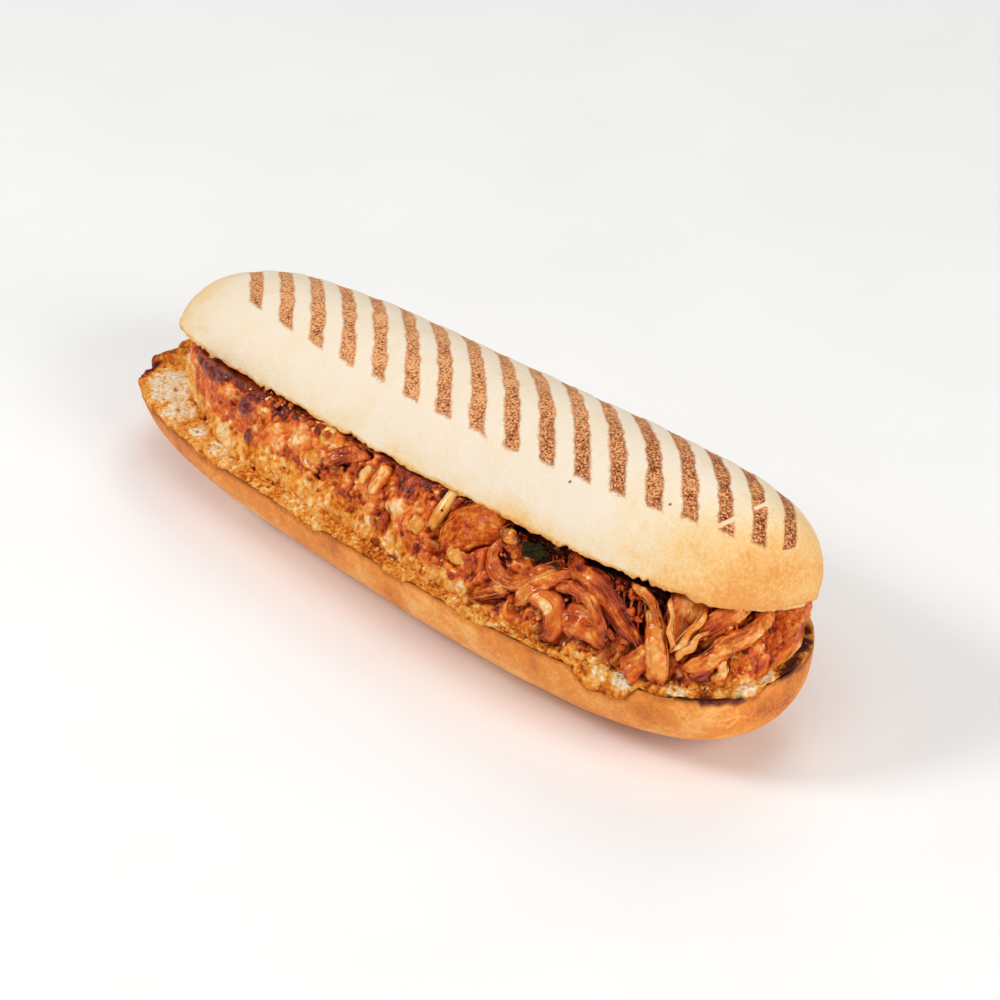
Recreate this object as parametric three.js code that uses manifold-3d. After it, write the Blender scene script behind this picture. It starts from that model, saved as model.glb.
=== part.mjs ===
// A grilled panini filled with pulled chicken, onion and melted cheese.
// Millimetres, +Z up. +X runs along the roll to its fuller end, and -Y is the open side.
// The roll is cut lengthwise: the base lies flat, and the lid leans back on the filling.
import * as THREE from 'three';
import { mergeVertices } from 'three/addons/utils/BufferGeometryUtils.js';
import Module from 'manifold-3d';

const wasm = await Module();
wasm.setup();

// Driving dimensions of the base, the lower half of the roll
const BASE_LENGTH = 240.4;
const BASE_WIDTH = 76.5;
const CUT_HEIGHT = 25.7;            // height of the cut at the middle of the roll
const CUT_RISE = 0.035;             // rise of the cut for each millimetre along +X
const END_LIFT = 1.5;               // how far the bottom lifts towards the two ends
const REST_DEPTH = 0.5;             // the underside is pressed flat by this much

// Driving dimensions of the lid, the upper half of the roll
const LID_LENGTH = 230.6;
const LID_WIDTH = 62.7;
const LID_HEIGHT = 28;
const LID_TAPER = -0.04;            // the lid narrows a little towards +X
const LID_SWELL = 0.09;             // and grows higher towards +X
const LID_SAG = 1.75;               // its ends curl up by this much
const LID_BOW = 0.43;
const LID_CENTRE = new THREE.Vector3(0.65, 7.5, 34.8);
const LID_LEAN = THREE.MathUtils.degToRad(-21.6);
const LID_PITCH = THREE.MathUtils.degToRad(-3.5);
const LID_YAW = THREE.MathUtils.degToRad(-0.4);

// Gaps between neighbours, and how the filling is laid in
const GAP = 0.35;
const HINGE_GAP = 0.5;              // base and lid meet with this gap along the back
const HEAP_GAP = 0.6;                // the heap itself keeps further from the bread than the pieces do
const EDGE_THICKNESS = 0.9;         // the filling's thickness where it runs out
const SPINE_SHARE = 0.72;           // length of the heap's spine as a share of the base's
const CRUMB_LUMPS = 27;             // bits of minced chicken and cheese in the heap

// Unevenness of each surface
const CRUST_RELIEF = 0.35;
const FILLING_RELIEF = 0.9;

const lidTurn = new THREE.Euler(LID_LEAN, LID_PITCH, LID_YAW, 'ZYX');
const lidMatrix = new THREE.Matrix4().makeRotationFromEuler(lidTurn).setPosition(LID_CENTRE);

const signedPower = (value, power) => Math.sign(value) * Math.abs(value) ** power;
const mix = (a, b, t) => a + (b - a) * t;
const clamp = THREE.MathUtils.clamp;
const smoothstep = THREE.MathUtils.smoothstep;

// A random number from 0 to 1, the same on every run
let randomState = 20261;
function random() {
  randomState = (randomState * 1664525 + 1013904223) % 4294967296;
  return randomState / 4294967296;
}

// Smooth unevenness from -1 to 1 with bumps about `size` millimetres apart
function unevenness(x, y, z, size) {
  const k = 2 * Math.PI / size;
  const wave = Math.sin(k * (x + 0.6 * y) + 1.3) + Math.sin(k * (0.7 * y - 1.2 * z) + 0.4)
    + Math.sin(k * (0.8 * z - 0.9 * x + 0.3 * y) + 2.1);
  return wave / 3;
}

// Share of the full width that is left at `c`, from -1 to 1 along the length
function endRounding(c, leftPower, rightPower) {
  const power = c < 0 ? leftPower : rightPower;
  return Math.max(0, 1 - Math.abs(c) ** power) ** (1 / power);
}

const lidHalfWidth = (c) => LID_WIDTH / 2 * (1 + LID_TAPER * c) * endRounding(c, 4.2, 3.5);
const lidCurl = (c) => LID_SAG * c * c;
const baseHalfWidth = (c) => BASE_WIDTH / 2 * endRounding(c, 3.47, 2.91);
const cutPlane = (x) => CUT_HEIGHT + CUT_RISE * x;

// Height of the lid's cut face above the plan point x, y
function lidUnderside(x, y) {
  const local = new THREE.Vector3(x - LID_CENTRE.x, (y - LID_CENTRE.y) / Math.cos(LID_LEAN), 0);
  const world = new THREE.Vector3();
  for (let pass = 0; pass < 4; pass += 1) {
    local.z = lidCurl(clamp(2 * local.x / LID_LENGTH, -1, 1));
    world.copy(local).applyMatrix4(lidMatrix);
    local.x += x - world.x;
    local.y += (y - world.y) / Math.cos(LID_LEAN);
  }
  return world.z;
}

// Height of the base's cut face: level across, and pressed down under the lid's back edge
function cutHeight(x, y) {
  return Math.min(cutPlane(x), lidUnderside(x, y) - HINGE_GAP);
}

// A closed surface from rings of points of equal length between two end points
function surfaceFromRings(firstPole, rings, lastPole) {
  const count = rings[0].length;
  const points = [firstPole, ...rings.flat(), lastPole];
  const indices = [];
  const last = points.length - 1;
  const vertex = (ring, i) => 1 + ring * count + (i % count);
  for (let i = 0; i < count; i += 1) {
    indices.push(0, vertex(0, i + 1), vertex(0, i));
    indices.push(last, vertex(rings.length - 1, i), vertex(rings.length - 1, i + 1));
    for (let ring = 0; ring + 1 < rings.length; ring += 1) {
      const a = vertex(ring, i);
      const b = vertex(ring, i + 1);
      const c = vertex(ring + 1, i + 1);
      const d = vertex(ring + 1, i);
      indices.push(a, b, c, a, c, d);
    }
  }
  const geometry = new THREE.BufferGeometry().setFromPoints(points);
  geometry.setIndex(indices);
  return geometry;
}

// A solid of a closed geometry, turned right side out where its faces point in
function solidOf(geometry) {
  geometry.deleteAttribute('normal');
  geometry.deleteAttribute('uv');
  const merged = mergeVertices(geometry, 1e-4);
  const triangles = Uint32Array.from(merged.index.array);
  const build = () => new wasm.Manifold(new wasm.Mesh({
    numProp: 3,
    vertProperties: Float32Array.from(merged.attributes.position.array),
    triVerts: triangles,
  }));
  const solid = build();
  if (solid.volume() > 0) {
    return solid;
  }
  for (let i = 0; i < triangles.length; i += 3) {
    [triangles[i], triangles[i + 1]] = [triangles[i + 1], triangles[i]];
  }
  return build();
}

// The largest connected piece of a solid, so that cutting leaves no scraps
function largestPiece(solid) {
  return solid.decompose().sort((a, b) => b.volume() - a.volume())[0];
}

function geometryOf(solid) {
  const mesh = solid.getMesh();
  const geometry = new THREE.BufferGeometry();
  geometry.setAttribute('position', new THREE.BufferAttribute(Float32Array.from(mesh.vertProperties), 3));
  geometry.setIndex(new THREE.BufferAttribute(Uint32Array.from(mesh.triVerts), 1));
  geometry.computeVertexNormals();
  return geometry;
}

// One half of the roll: stations along the length, each a crust arc closed by the cut face.
// `crust` and `cut` give a point from the station c and the place across.
function halfRoll(crust, cut, stations, arcSteps, cutSteps) {
  const rings = [];
  for (let i = 1; i < stations; i += 1) {
    const c = -Math.cos(Math.PI * i / stations);
    const ring = [];
    for (let j = 0; j <= arcSteps; j += 1) {
      ring.push(crust(c, Math.PI * j / arcSteps));
    }
    for (let j = 1; j < cutSteps; j += 1) {
      ring.push(cut(c, 1 - 2 * j / cutSteps));
    }
    rings.push(ring);
  }
  return solidOf(surfaceFromRings(crust(-1, 0), rings, crust(1, 0)));
}

// The base: a crust bowl below the cut, flat where it rests
function baseSolid(grow = 0) {
  const halfLength = BASE_LENGTH / 2 + grow;
  const widen = 1 + 2 * grow / BASE_WIDTH;
  const crust = (c, angle) => {
    const x = c * halfLength;
    const relief = CRUST_RELIEF * unevenness(x, 60 * angle, 0, 34) * Math.sin(angle);
    const y = baseHalfWidth(c) * widen * signedPower(-Math.cos(angle), 2 / 2.47);
    const top = cutHeight(x, y) + grow;
    const depth = top - END_LIFT * c * c + REST_DEPTH + relief;
    const z = top - depth * endRounding(c, 3.5, 4.15) * signedPower(Math.sin(angle), 2 / 2.56);
    return new THREE.Vector3(x, y, Math.max(0, z));
  };
  const cut = (c, across) => {
    const x = c * halfLength;
    const y = baseHalfWidth(c) * widen * across;
    return new THREE.Vector3(x, y, cutHeight(x, y) + grow);
  };
  return halfRoll(crust, cut, 32, 13, 5);
}

// The lid, in its own frame with the cut face near z = 0
function lidSolid(grow = 0) {
  const halfLength = LID_LENGTH / 2 + grow;
  const widen = 1 + 2 * grow / LID_WIDTH;
  const crust = (c, angle) => {
    const x = c * halfLength;
    const y = lidHalfWidth(c) * widen * signedPower(-Math.cos(angle), 2 / 2.16) + LID_BOW * c * c;
    const relief = CRUST_RELIEF * unevenness(x, 55 * angle, 0, 38);
    const height = (LID_HEIGHT + grow + relief) * (1 + LID_SWELL * c) * endRounding(c, 3.4, 4.7);
    const z = height * signedPower(Math.sin(angle), 2 / 1.79) + lidCurl(c) - grow;
    return new THREE.Vector3(x, y, z);
  };
  const cut = (c, across) => new THREE.Vector3(
    c * halfLength,
    lidHalfWidth(c) * widen * across + LID_BOW * c * c,
    lidCurl(c) - grow,
  );
  return halfRoll(crust, cut, 32, 13, 4);
}

// The direction that the filling faces at a plan point: up and away from the roll's spine
function outward(x, y) {
  const along = x - clamp(x, -86, 86);
  return new THREE.Vector3(along, y, 0).normalize().setZ(0.9).normalize();
}

// Plan point of the filling's foot. `turn` goes round the roll, and negative is the open side.
function footOf(turn) {
  const c = Math.cos(turn);
  const front = mix(0.87, 0.95, smoothstep(c, -0.1, 0.6)) - 0.2 * smoothstep(-c, 0.55, 1);
  const x = c * BASE_LENGTH / 2 * (c < 0 ? 0.885 : 0.975);
  const halfWidth = baseHalfWidth(c);
  if (Math.sin(turn) <= 0) {
    return new THREE.Vector2(x, -halfWidth * front);
  }
  // Along the back the filling stops where lid and base come together
  const opening = lidUnderside(x, 30) - cutPlane(x) - 2.4;
  return new THREE.Vector2(x, Math.min(0.93 * halfWidth, 30 + opening / 0.395));
}

// How far the heap stays below the lid: it touches at the left and sinks towards the right end
function heapSink(x) {
  return 0.5 + 3.4 * smoothstep(x, 30, 62) + 1.2 * smoothstep(x, 84, 96);
}

// The heap's surface. `turn` goes round the roll, and `share` runs from the spine to the foot.
function heapPoint(turn, share) {
  const foot = footOf(turn);
  const spine = new THREE.Vector2(SPINE_SHARE * BASE_LENGTH / 2 * Math.cos(turn), 2);
  const plan = spine.clone().lerp(foot, share);
  const c = Math.cos(turn);
  const side = Math.sign(Math.sin(turn));
  const edge = new THREE.Vector3(c * LID_LENGTH / 2, side * lidHalfWidth(c), lidCurl(c));
  edge.applyMatrix4(lidMatrix);
  const reach = spine.distanceTo(new THREE.Vector2(edge.x, edge.y)) / spine.distanceTo(foot);
  const edgeShare = Math.min(0.93, reach);
  const footTop = cutHeight(foot.x, foot.y) + HEAP_GAP + EDGE_THICKNESS;
  const sink = heapSink(plan.x);
  const roof = lidUnderside(plan.x, plan.y) - HEAP_GAP - sink * smoothstep(share, 0.2, 0.5);
  const rise = edge.z - sink - footTop;
  const wall = footTop + rise * ((1 - share) / (1 - edgeShare)) ** 0.85;
  const height = roof - Math.log(1 + Math.exp((roof - wall) / 0.8)) * 0.8;
  const face = outward(plan.x, plan.y);
  const relief = FILLING_RELIEF * unevenness(plan.x, plan.y, height, 11)
    * smoothstep(share, 0.55, 0.75) * smoothstep(1 - share, 0, 0.08);
  const lowest = cutHeight(plan.x, plan.y) + HEAP_GAP + EDGE_THICKNESS;
  return new THREE.Vector3(
    plan.x + face.x * relief,
    plan.y + face.y * relief,
    Math.max(height + face.z * relief, lowest),
  );
}

// The bare heap of melted cheese and sauce: rings from the spine out to its foot
function fillingCore() {
  const openSteps = 40;
  const backSteps = 12;
  const ringShares = [0.35, 0.58, 0.68, 0.76, 0.83, 0.89, 0.95, 1];
  const turns = [
    ...Array.from({ length: openSteps }, (_, i) => Math.PI * ((i + 0.5) / openSteps - 1)),
    ...Array.from({ length: backSteps }, (_, i) => Math.PI * (i + 0.5) / backSteps),
  ];
  const underPoint = (turn, share) => {
    const foot = footOf(turn);
    const plan = new THREE.Vector2(SPINE_SHARE * BASE_LENGTH / 2 * Math.cos(turn), 2).lerp(foot, share);
    return new THREE.Vector3(plan.x, plan.y, cutHeight(plan.x, plan.y) + HEAP_GAP);
  };
  const rings = [
    ...ringShares.map((share) => turns.map((turn) => heapPoint(turn, share))),
    ...[1, 0.5].map((share) => turns.map((turn) => underPoint(turn, share))),
  ];
  const roof = new THREE.Vector3(0, 2, lidUnderside(0, 2) - HEAP_GAP);
  return solidOf(surfaceFromRings(roof, rings, new THREE.Vector3(0, 2, cutPlane(0) + HEAP_GAP)));
}

// A rounded lump: a sphere of few sides with a squareness power, turned about two axes
function lump({ at, size, turn = 0, tip = 0, power = 2, sides = 8, tiers = 5 }, grow = 0) {
  const geometry = new THREE.SphereGeometry(1, sides, tiers);
  const position = geometry.attributes.position;
  const point = new THREE.Vector3();
  const matrix = new THREE.Matrix4().makeRotationFromEuler(new THREE.Euler(tip, 0, turn, 'ZYX'));
  matrix.setPosition(...at);
  for (let i = 0; i < position.count; i += 1) {
    point.fromBufferAttribute(position, i);
    point.set(...point.toArray().map((v, axis) => (
      signedPower(v, 2 / power) * (size[axis] / 2 + grow)
    )));
    point.applyMatrix4(matrix);
    position.setXYZ(i, point.x, point.y, point.z);
  }
  return solidOf(geometry);
}

// A strip of meat or onion laid along a route of points on the face of the filling.
// The widths are spread along the route, and the strip lies with its thickness outward.
function strip({ route, widths, thickness, sides = 7, steps = 8, blunt = 6 }, grow = 0) {
  const curve = new THREE.CatmullRomCurve3(route.map((p) => new THREE.Vector3(...p)), false, 'centripetal');
  const span = widths.length - 1;
  const rings = [];
  const centreAt = (t) => {
    const p = curve.getPointAt(t);
    return p.addScaledVector(outward(p.x, p.y), -thickness / 2);
  };
  for (let i = 1; i < steps; i += 1) {
    const t = (1 - Math.cos(Math.PI * i / steps)) / 2;
    const centre = centreAt(t);
    const tangent = curve.getTangentAt(t);
    const side = new THREE.Vector3().crossVectors(tangent, outward(centre.x, centre.y)).normalize();
    const normal = new THREE.Vector3().crossVectors(side, tangent);
    const slot = Math.min(Math.floor(t * span), span - 1);
    const width = mix(widths[slot], widths[slot + 1], smoothstep(t * span - slot, 0, 1));
    const rounding = (1 - Math.abs(2 * t - 1) ** blunt) ** (1 / blunt);
    const ring = [];
    for (let j = 0; j < sides; j += 1) {
      const angle = 2 * Math.PI * j / sides;
      const uneven = 1 + 0.07 * Math.sin(5 * j + 7 * t + route[0][0]);
      const across = (width / 2 * rounding * uneven + grow) * Math.cos(angle);
      const deep = (thickness / 2 * rounding * uneven + grow) * Math.sin(angle);
      ring.push(centre.clone().addScaledVector(side, across).addScaledVector(normal, deep));
    }
    rings.push(ring);
  }
  const endAt = (t, way) => centreAt(t).addScaledVector(curve.getTangentAt(t), way * grow);
  return solidOf(surfaceFromRings(endAt(0, -1), rings, endAt(1, 1)));
}

// A thin wavy leaf: one rounded outline, both faces split into triangles alike
function leaf({ at, length, width, turn, tip }, grow = 0) {
  const halfThickness = 0.35 + 1.6 * grow;
  const tiers = 3;
  const around = 10;
  const wave = (u, v) => 0.5 * Math.sin(2.6 * u) + 0.4 * Math.cos(3.1 * v);
  const faceRing = (share, way) => Array.from({ length: around }, (_, i) => {
    const angle = 2 * Math.PI * i / around;
    const u = share * length / 2 * Math.cos(angle);
    const v = share * width / 2 * Math.sin(angle) * (1 - 0.25 * Math.cos(angle));
    const reach = 2 * grow * share;
    return new THREE.Vector3(
      u + reach * Math.cos(angle),
      v + reach * Math.sin(angle),
      wave(u, v) + way * halfThickness,
    );
  });
  const shares = Array.from({ length: tiers }, (_, i) => (i + 1) / tiers);
  const rings = [
    ...shares.map((share) => faceRing(share, 1)),
    ...shares.reverse().map((share) => faceRing(share, -1)),
  ];
  const matrix = new THREE.Matrix4().makeRotationFromEuler(new THREE.Euler(tip, 0, turn, 'ZYX'));
  matrix.setPosition(...at);
  const middle = (way) => new THREE.Vector3(0, 0, wave(0, 0) + way * halfThickness);
  return solidOf(surfaceFromRings(middle(1), rings, middle(-1)).applyMatrix4(matrix));
}

// Every piece that shows in the open side, in the order in which it is fitted: an earlier
// piece keeps its shape, and a later one is cut back where the two would cross.
const CHICKEN = 0xc4622f;
const PALE_CHICKEN = 0xe0935a;
const ONION = 0xe8b56a;
const pieces = [
  { name: 'chicken_rope', make: strip, colour: CHICKEN, steps: 11,
    route: [[63, -19, 47.5], [68, -22.5, 46.5], [75, -23, 46.5],
      [82, -24, 44], [88, -25, 41], [94, -25, 37.5]],
    widths: [4.5, 6, 6, 5.5, 4], thickness: 4.8 },
  { name: 'chicken_stub', make: strip, colour: PALE_CHICKEN,
    route: [[92.5, -19.5, 46], [96.5, -22.5, 41.5], [99.5, -25, 36], [101.5, -26.5, 31.5]],
    widths: [3.5, 5.5, 6.6, 6.2], thickness: 4.2 },
  { name: 'chicken_slab_lower', make: strip, colour: PALE_CHICKEN, steps: 11,
    route: [[114, 3, 46], [115.5, -5.5, 44.5], [113, -12.5, 42], [110.5, -17.5, 38.5], [107.5, -21.5, 35.5]],
    widths: [4, 4.6, 5, 5.4, 5], thickness: 4.2 },
  { name: 'chicken_slab_upper', make: strip, colour: CHICKEN, steps: 10,
    route: [[109.5, 1, 49], [110.5, -6, 48.2], [108.5, -11.5, 46], [106, -16, 42.6]],
    widths: [4, 5, 5.2, 4], thickness: 3.6 },
  { name: 'chicken_chunk', make: strip, colour: CHICKEN, sides: 8,
    route: [[24, -31, 36.5], [29, -27.5, 42], [34, -24.5, 45.5], [40, -21, 47.8]],
    widths: [6, 13.5, 13.5, 9], thickness: 7 },
  { name: 'onion_stick', make: strip, colour: ONION, steps: 8, blunt: 12,
    route: [[20.5, -20, 48.3], [20, -24.5, 44.8], [19, -29.5, 39]],
    widths: [3.6, 3.9, 3.4], thickness: 3 },
  { name: 'chicken_curl', make: strip, colour: CHICKEN, steps: 12,
    route: [[42.5, -25, 45], [42.5, -28.5, 41], [47, -30.5, 38.6], [53.5, -30, 39],
      [58.5, -27, 43.2], [61.5, -24.5, 46.2]],
    widths: [3, 4.6, 5, 4.6, 3.4], thickness: 4.4 },
  { name: 'chicken_fold', make: strip, colour: PALE_CHICKEN, steps: 11,
    route: [[57, -30.5, 38], [61.5, -30.5, 39.6], [66.5, -30, 38.4], [68.5, -32, 33.8], [66, -34, 30.3]],
    widths: [4.5, 6, 7, 6.5, 4], thickness: 3.4 },
  { name: 'chicken_pocket', make: strip, colour: CHICKEN,
    route: [[69.5, -30, 35.5], [74, -29, 38], [79, -28.5, 37.8], [83.5, -28.5, 35.2]],
    widths: [6, 9.5, 9, 6], thickness: 3.6 },
  { name: 'chicken_arch', make: strip, colour: CHICKEN, steps: 10,
    route: [[65, -26.5, 43], [70, -26, 44.3], [76, -26, 43.6], [81, -27.3, 41], [84.5, -28, 37.8]],
    widths: [2.6, 3.2, 3.2, 3.2, 2.4], thickness: 2.6 },
  { name: 'chicken_strip_low', make: strip, colour: CHICKEN,
    route: [[41, -34.2, 31], [46, -33, 34.4], [51.5, -31, 37]],
    widths: [4, 5.4, 4.2], thickness: 3.4 },
  { name: 'chicken_strip_mid', make: strip, colour: PALE_CHICKEN,
    route: [[55.5, -32.3, 35], [59, -30, 40.6], [63, -26.5, 44], [66.5, -23, 46]],
    widths: [3.6, 4.8, 4.6, 3.6], thickness: 3 },
  { name: 'chicken_splay', make: strip, colour: PALE_CHICKEN,
    route: [[96, -25, 38.4], [94.6, -27.6, 34.5], [92, -29.4, 31.3]],
    widths: [3.4, 6, 8.4], thickness: 2.4 },
  { name: 'chicken_strand_upright', make: strip, colour: PALE_CHICKEN, sides: 6,
    route: [[96.5, -16.4, 49.2], [99.2, -19.3, 46.3], [102, -22.2, 40.3]],
    widths: [1.8, 2, 1.6], thickness: 1.6 },
  { name: 'chicken_strand_pale_1', make: strip, colour: PALE_CHICKEN, sides: 6,
    route: [[104.8, -12.3, 48.7], [105.4, -16, 46.3], [103.8, -19, 42.6], [101.8, -21.6, 38.6]],
    widths: [2, 2.8, 2.6, 2], thickness: 1.8 },
  { name: 'chicken_strand_pale_2', make: strip, colour: PALE_CHICKEN, sides: 6,
    route: [[107.8, -14.5, 45.4], [106.2, -17.8, 42], [103.7, -21.4, 37.6]],
    widths: [1.8, 2.8, 2.2], thickness: 1.8 },
  { name: 'chicken_strand_loop', make: strip, colour: CHICKEN, sides: 6, steps: 10,
    route: [[84, -17.8, 49], [89, -19, 48.8], [93, -19.6, 47.6], [95.6, -20.6, 44.6], [97.2, -21.6, 41.4]],
    widths: [1.8, 2.4, 2.4, 2.2, 1.8], thickness: 1.8 },
  { name: 'chicken_fan', make: strip, colour: CHICKEN, sides: 8,
    route: [[98.6, -10, 48.3], [100.4, -13.4, 46.4], [101.2, -16.6, 42], [101, -20, 37.4]],
    widths: [13, 12, 8.5, 4], thickness: 2.2 },
  { name: 'chicken_hanging', make: strip, colour: PALE_CHICKEN, sides: 6,
    route: [[112.5, -13.8, 39.5], [113.3, -14.8, 35.6], [112, -16.8, 32]],
    widths: [2.8, 3.2, 2.4], thickness: 1.6 },
  { name: 'chicken_nub', make: lump, colour: CHICKEN,
    at: [112.6, -9.5, 35], size: [7, 7, 7], turn: 0.6, tip: 0.2, power: 2.4 },
  { name: 'red_onion_piece', make: lump, colour: 0x7d3a30,
    at: [108.2, -16.6, 33.4], size: [6.4, 7.4, 4.4], turn: 0.5, tip: 0.5, power: 2.4 },
  { name: 'chicken_end_mass', make: lump, colour: CHICKEN, sides: 10, tiers: 7,
    at: [109, 2.5, 36.6], size: [16, 21, 15.5], turn: 0.2, tip: -0.1, power: 2.3 },
  { name: 'chicken_end_piece', make: lump, colour: PALE_CHICKEN, sides: 8, tiers: 6,
    at: [109.6, 15.6, 38.6], size: [9.5, 8.5, 9.5], turn: 0.5, tip: 0.1, power: 2.3 },
  { name: 'onion_dice_1', make: lump, colour: ONION,
    at: [-28.2, -22.9, 41.2], size: [7.6, 6.6, 4.8], turn: 0.3, tip: 0.75, power: 3 },
  { name: 'onion_dice_2', make: lump, colour: ONION,
    at: [-29.6, -28.4, 36], size: [7.4, 6.4, 4.6], turn: -0.2, tip: 0.8, power: 3 },
  { name: 'onion_dice_3', make: lump, colour: ONION,
    at: [14.6, -28.6, 36.8], size: [7.4, 5.2, 4.4], turn: -0.2, tip: 0.8, power: 2.8 },
  { name: 'onion_dice_4', make: lump, colour: ONION,
    at: [-9.4, -26.3, 40], size: [5, 6.4, 4], turn: -0.5, tip: 0.8, power: 3 },
  { name: 'onion_shard', make: lump, colour: ONION,
    at: [31.6, -30.6, 36.4], size: [7.4, 4, 3.4], turn: 0.1, tip: 0.9, power: 2.6 },
  { name: 'onion_sliver', make: lump, colour: ONION,
    at: [43.6, -23.2, 45.6], size: [7, 3.4, 3], turn: 0.15, tip: 0.7, power: 2.4 },
  { name: 'chicken_curl_left', make: strip, colour: CHICKEN,
    route: [[-25, -29, 37.2], [-22, -28, 40.2], [-17, -25.5, 43], [-11.5, -24, 44]],
    widths: [2.8, 4.2, 4, 2.6], thickness: 2.8 },
  { name: 'chicken_flake_left', make: strip, colour: PALE_CHICKEN,
    route: [[-4.5, -29.4, 38.4], [-4, -26.8, 42], [-3, -24, 44.4]],
    widths: [2.6, 4, 3], thickness: 2.2 },
  { name: 'herb_leaf', make: leaf, colour: 0x3c4a1e,
    at: [54, -23.4, 45.9], length: 8.5, width: 5, turn: 0.3, tip: 0.8 },
];

// The heap with bits of minced chicken and cheese fused on where it shows
function fillingSolid() {
  let heap = fillingCore();
  for (let i = 0; i < CRUMB_LUMPS; i += 1) {
    const turn = mix(-0.86 * Math.PI, -0.14 * Math.PI, (i + random()) / CRUMB_LUMPS);
    const size = mix(3.8, 6.8, random());
    const at = heapPoint(turn, mix(0.72, 0.97, random()));
    at.addScaledVector(outward(at.x, at.y), 0.1 * size);
    heap = heap.add(lump({
      at: at.toArray(),
      size: [size * mix(0.9, 1.5, random()), size, size * 0.75],
      turn: mix(-1, 1, random()),
      tip: mix(0.3, 1.2, random()),
      power: 2.3,
      sides: 6,
      tiers: 4,
    }));
  }
  return heap;
}

// Fitting: pieces keep clear of the bread and of each other, and the heap is cut round them
const lidLocal = lidSolid();
const bread = baseSolid();
const keepOut = [baseSolid(GAP), lidSolid(GAP).transform(lidMatrix.elements)];
const fitted = [];
for (const piece of pieces) {
  let solid = piece.make(piece);
  for (const other of keepOut) {
    solid = solid.subtract(other);
  }
  fitted.push({ ...piece, solid: largestPiece(solid) });
  keepOut.push(piece.make(piece, GAP));
}
let filling = fillingSolid();
for (const other of keepOut) {
  filling = filling.subtract(other);
}
filling = largestPiece(filling);

function addMesh(group, name, solid, colour, roughness) {
  const material = new THREE.MeshStandardMaterial({ color: colour, roughness, metalness: 0 });
  const mesh = new THREE.Mesh(geometryOf(solid), material);
  mesh.name = name;
  group.add(mesh);
  return mesh;
}

const panini = new THREE.Group();
addMesh(panini, 'bread_base', bread, 0xe0954a, 0.8);
const lid = addMesh(panini, 'bread_lid', lidLocal, 0xf3dcb8, 0.75);
lid.position.copy(LID_CENTRE);
lid.rotation.copy(lidTurn);
addMesh(panini, 'filling', filling, 0xb5562c, 0.45);
for (const { name, solid, colour } of fitted) {
  addMesh(panini, name, solid, colour, 0.45);
}

export default panini;
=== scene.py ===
"""A grilled panini filled with pulled chicken, onion and melted cheese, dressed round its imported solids."""
import bpy
import numpy as np
from mathutils import Matrix, Vector


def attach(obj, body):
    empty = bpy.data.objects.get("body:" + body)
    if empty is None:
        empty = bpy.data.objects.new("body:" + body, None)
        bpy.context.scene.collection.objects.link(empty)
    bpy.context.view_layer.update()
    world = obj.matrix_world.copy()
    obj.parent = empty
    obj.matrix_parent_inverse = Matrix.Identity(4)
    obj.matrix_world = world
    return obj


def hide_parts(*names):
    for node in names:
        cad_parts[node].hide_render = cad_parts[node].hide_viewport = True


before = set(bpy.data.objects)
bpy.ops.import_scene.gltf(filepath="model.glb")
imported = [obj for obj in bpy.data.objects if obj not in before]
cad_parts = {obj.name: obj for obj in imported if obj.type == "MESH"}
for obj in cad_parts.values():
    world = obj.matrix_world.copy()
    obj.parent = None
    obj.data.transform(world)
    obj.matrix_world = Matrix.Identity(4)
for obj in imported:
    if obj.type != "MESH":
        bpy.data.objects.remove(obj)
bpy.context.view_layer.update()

# The view: a long lens looks down on the open side and the fuller end of the roll, over a
# plain pale floor, with soft lamps on the left, the right, above, behind and low in front, and
# a dim pale surround. Lengths in this file are millimetres until a mesh is made.
MM = 0.001
CAMERA_AZIMUTH = np.radians(46.75)
CAMERA_ELEVATION = np.radians(34.95)
CAMERA_ROLL = np.radians(-0.32)
CAMERA_TARGET = np.array([-17.1, 31.1, 0.0])
CAMERA_DISTANCE = 928.2
CAMERA_LENS = 114.73
SENSOR = 36.0
FLOOR_SIZE = 4000.0


def view_axes(azimuth, elevation, roll):
    """The camera's right, up and backward directions: a turn about +Z, a tilt up, then a roll."""
    right = np.array([np.cos(azimuth), np.sin(azimuth), 0.0])
    level = np.array([np.sin(azimuth), -np.cos(azimuth), 0.0])
    back = level * np.cos(elevation) + np.array([0.0, 0.0, np.sin(elevation)])
    up = np.cross(back, right)
    rolled_right = np.cos(roll) * right + np.sin(roll) * up
    rolled_up = np.cos(roll) * up - np.sin(roll) * right
    return rolled_right, rolled_up, back


def place_facing(thing, position, right, up, back):
    """Puts a camera or a lamp at a position in millimetres, looking along the opposite of `back`."""
    turn = Matrix(np.column_stack([right, up, back]).tolist()).to_4x4()
    thing.matrix_world = Matrix.Translation(Vector(position * MM)) @ turn
    bpy.context.scene.collection.objects.link(thing)


right, up, back = view_axes(CAMERA_AZIMUTH, CAMERA_ELEVATION, CAMERA_ROLL)
camera = bpy.data.objects.new("camera", bpy.data.cameras.new("camera"))
camera.data.lens = CAMERA_LENS
camera.data.sensor_width = SENSOR
camera.data.clip_end = 20.0
place_facing(camera, CAMERA_TARGET + back * CAMERA_DISTANCE, right, up, back)
bpy.context.scene.camera = camera

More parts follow.
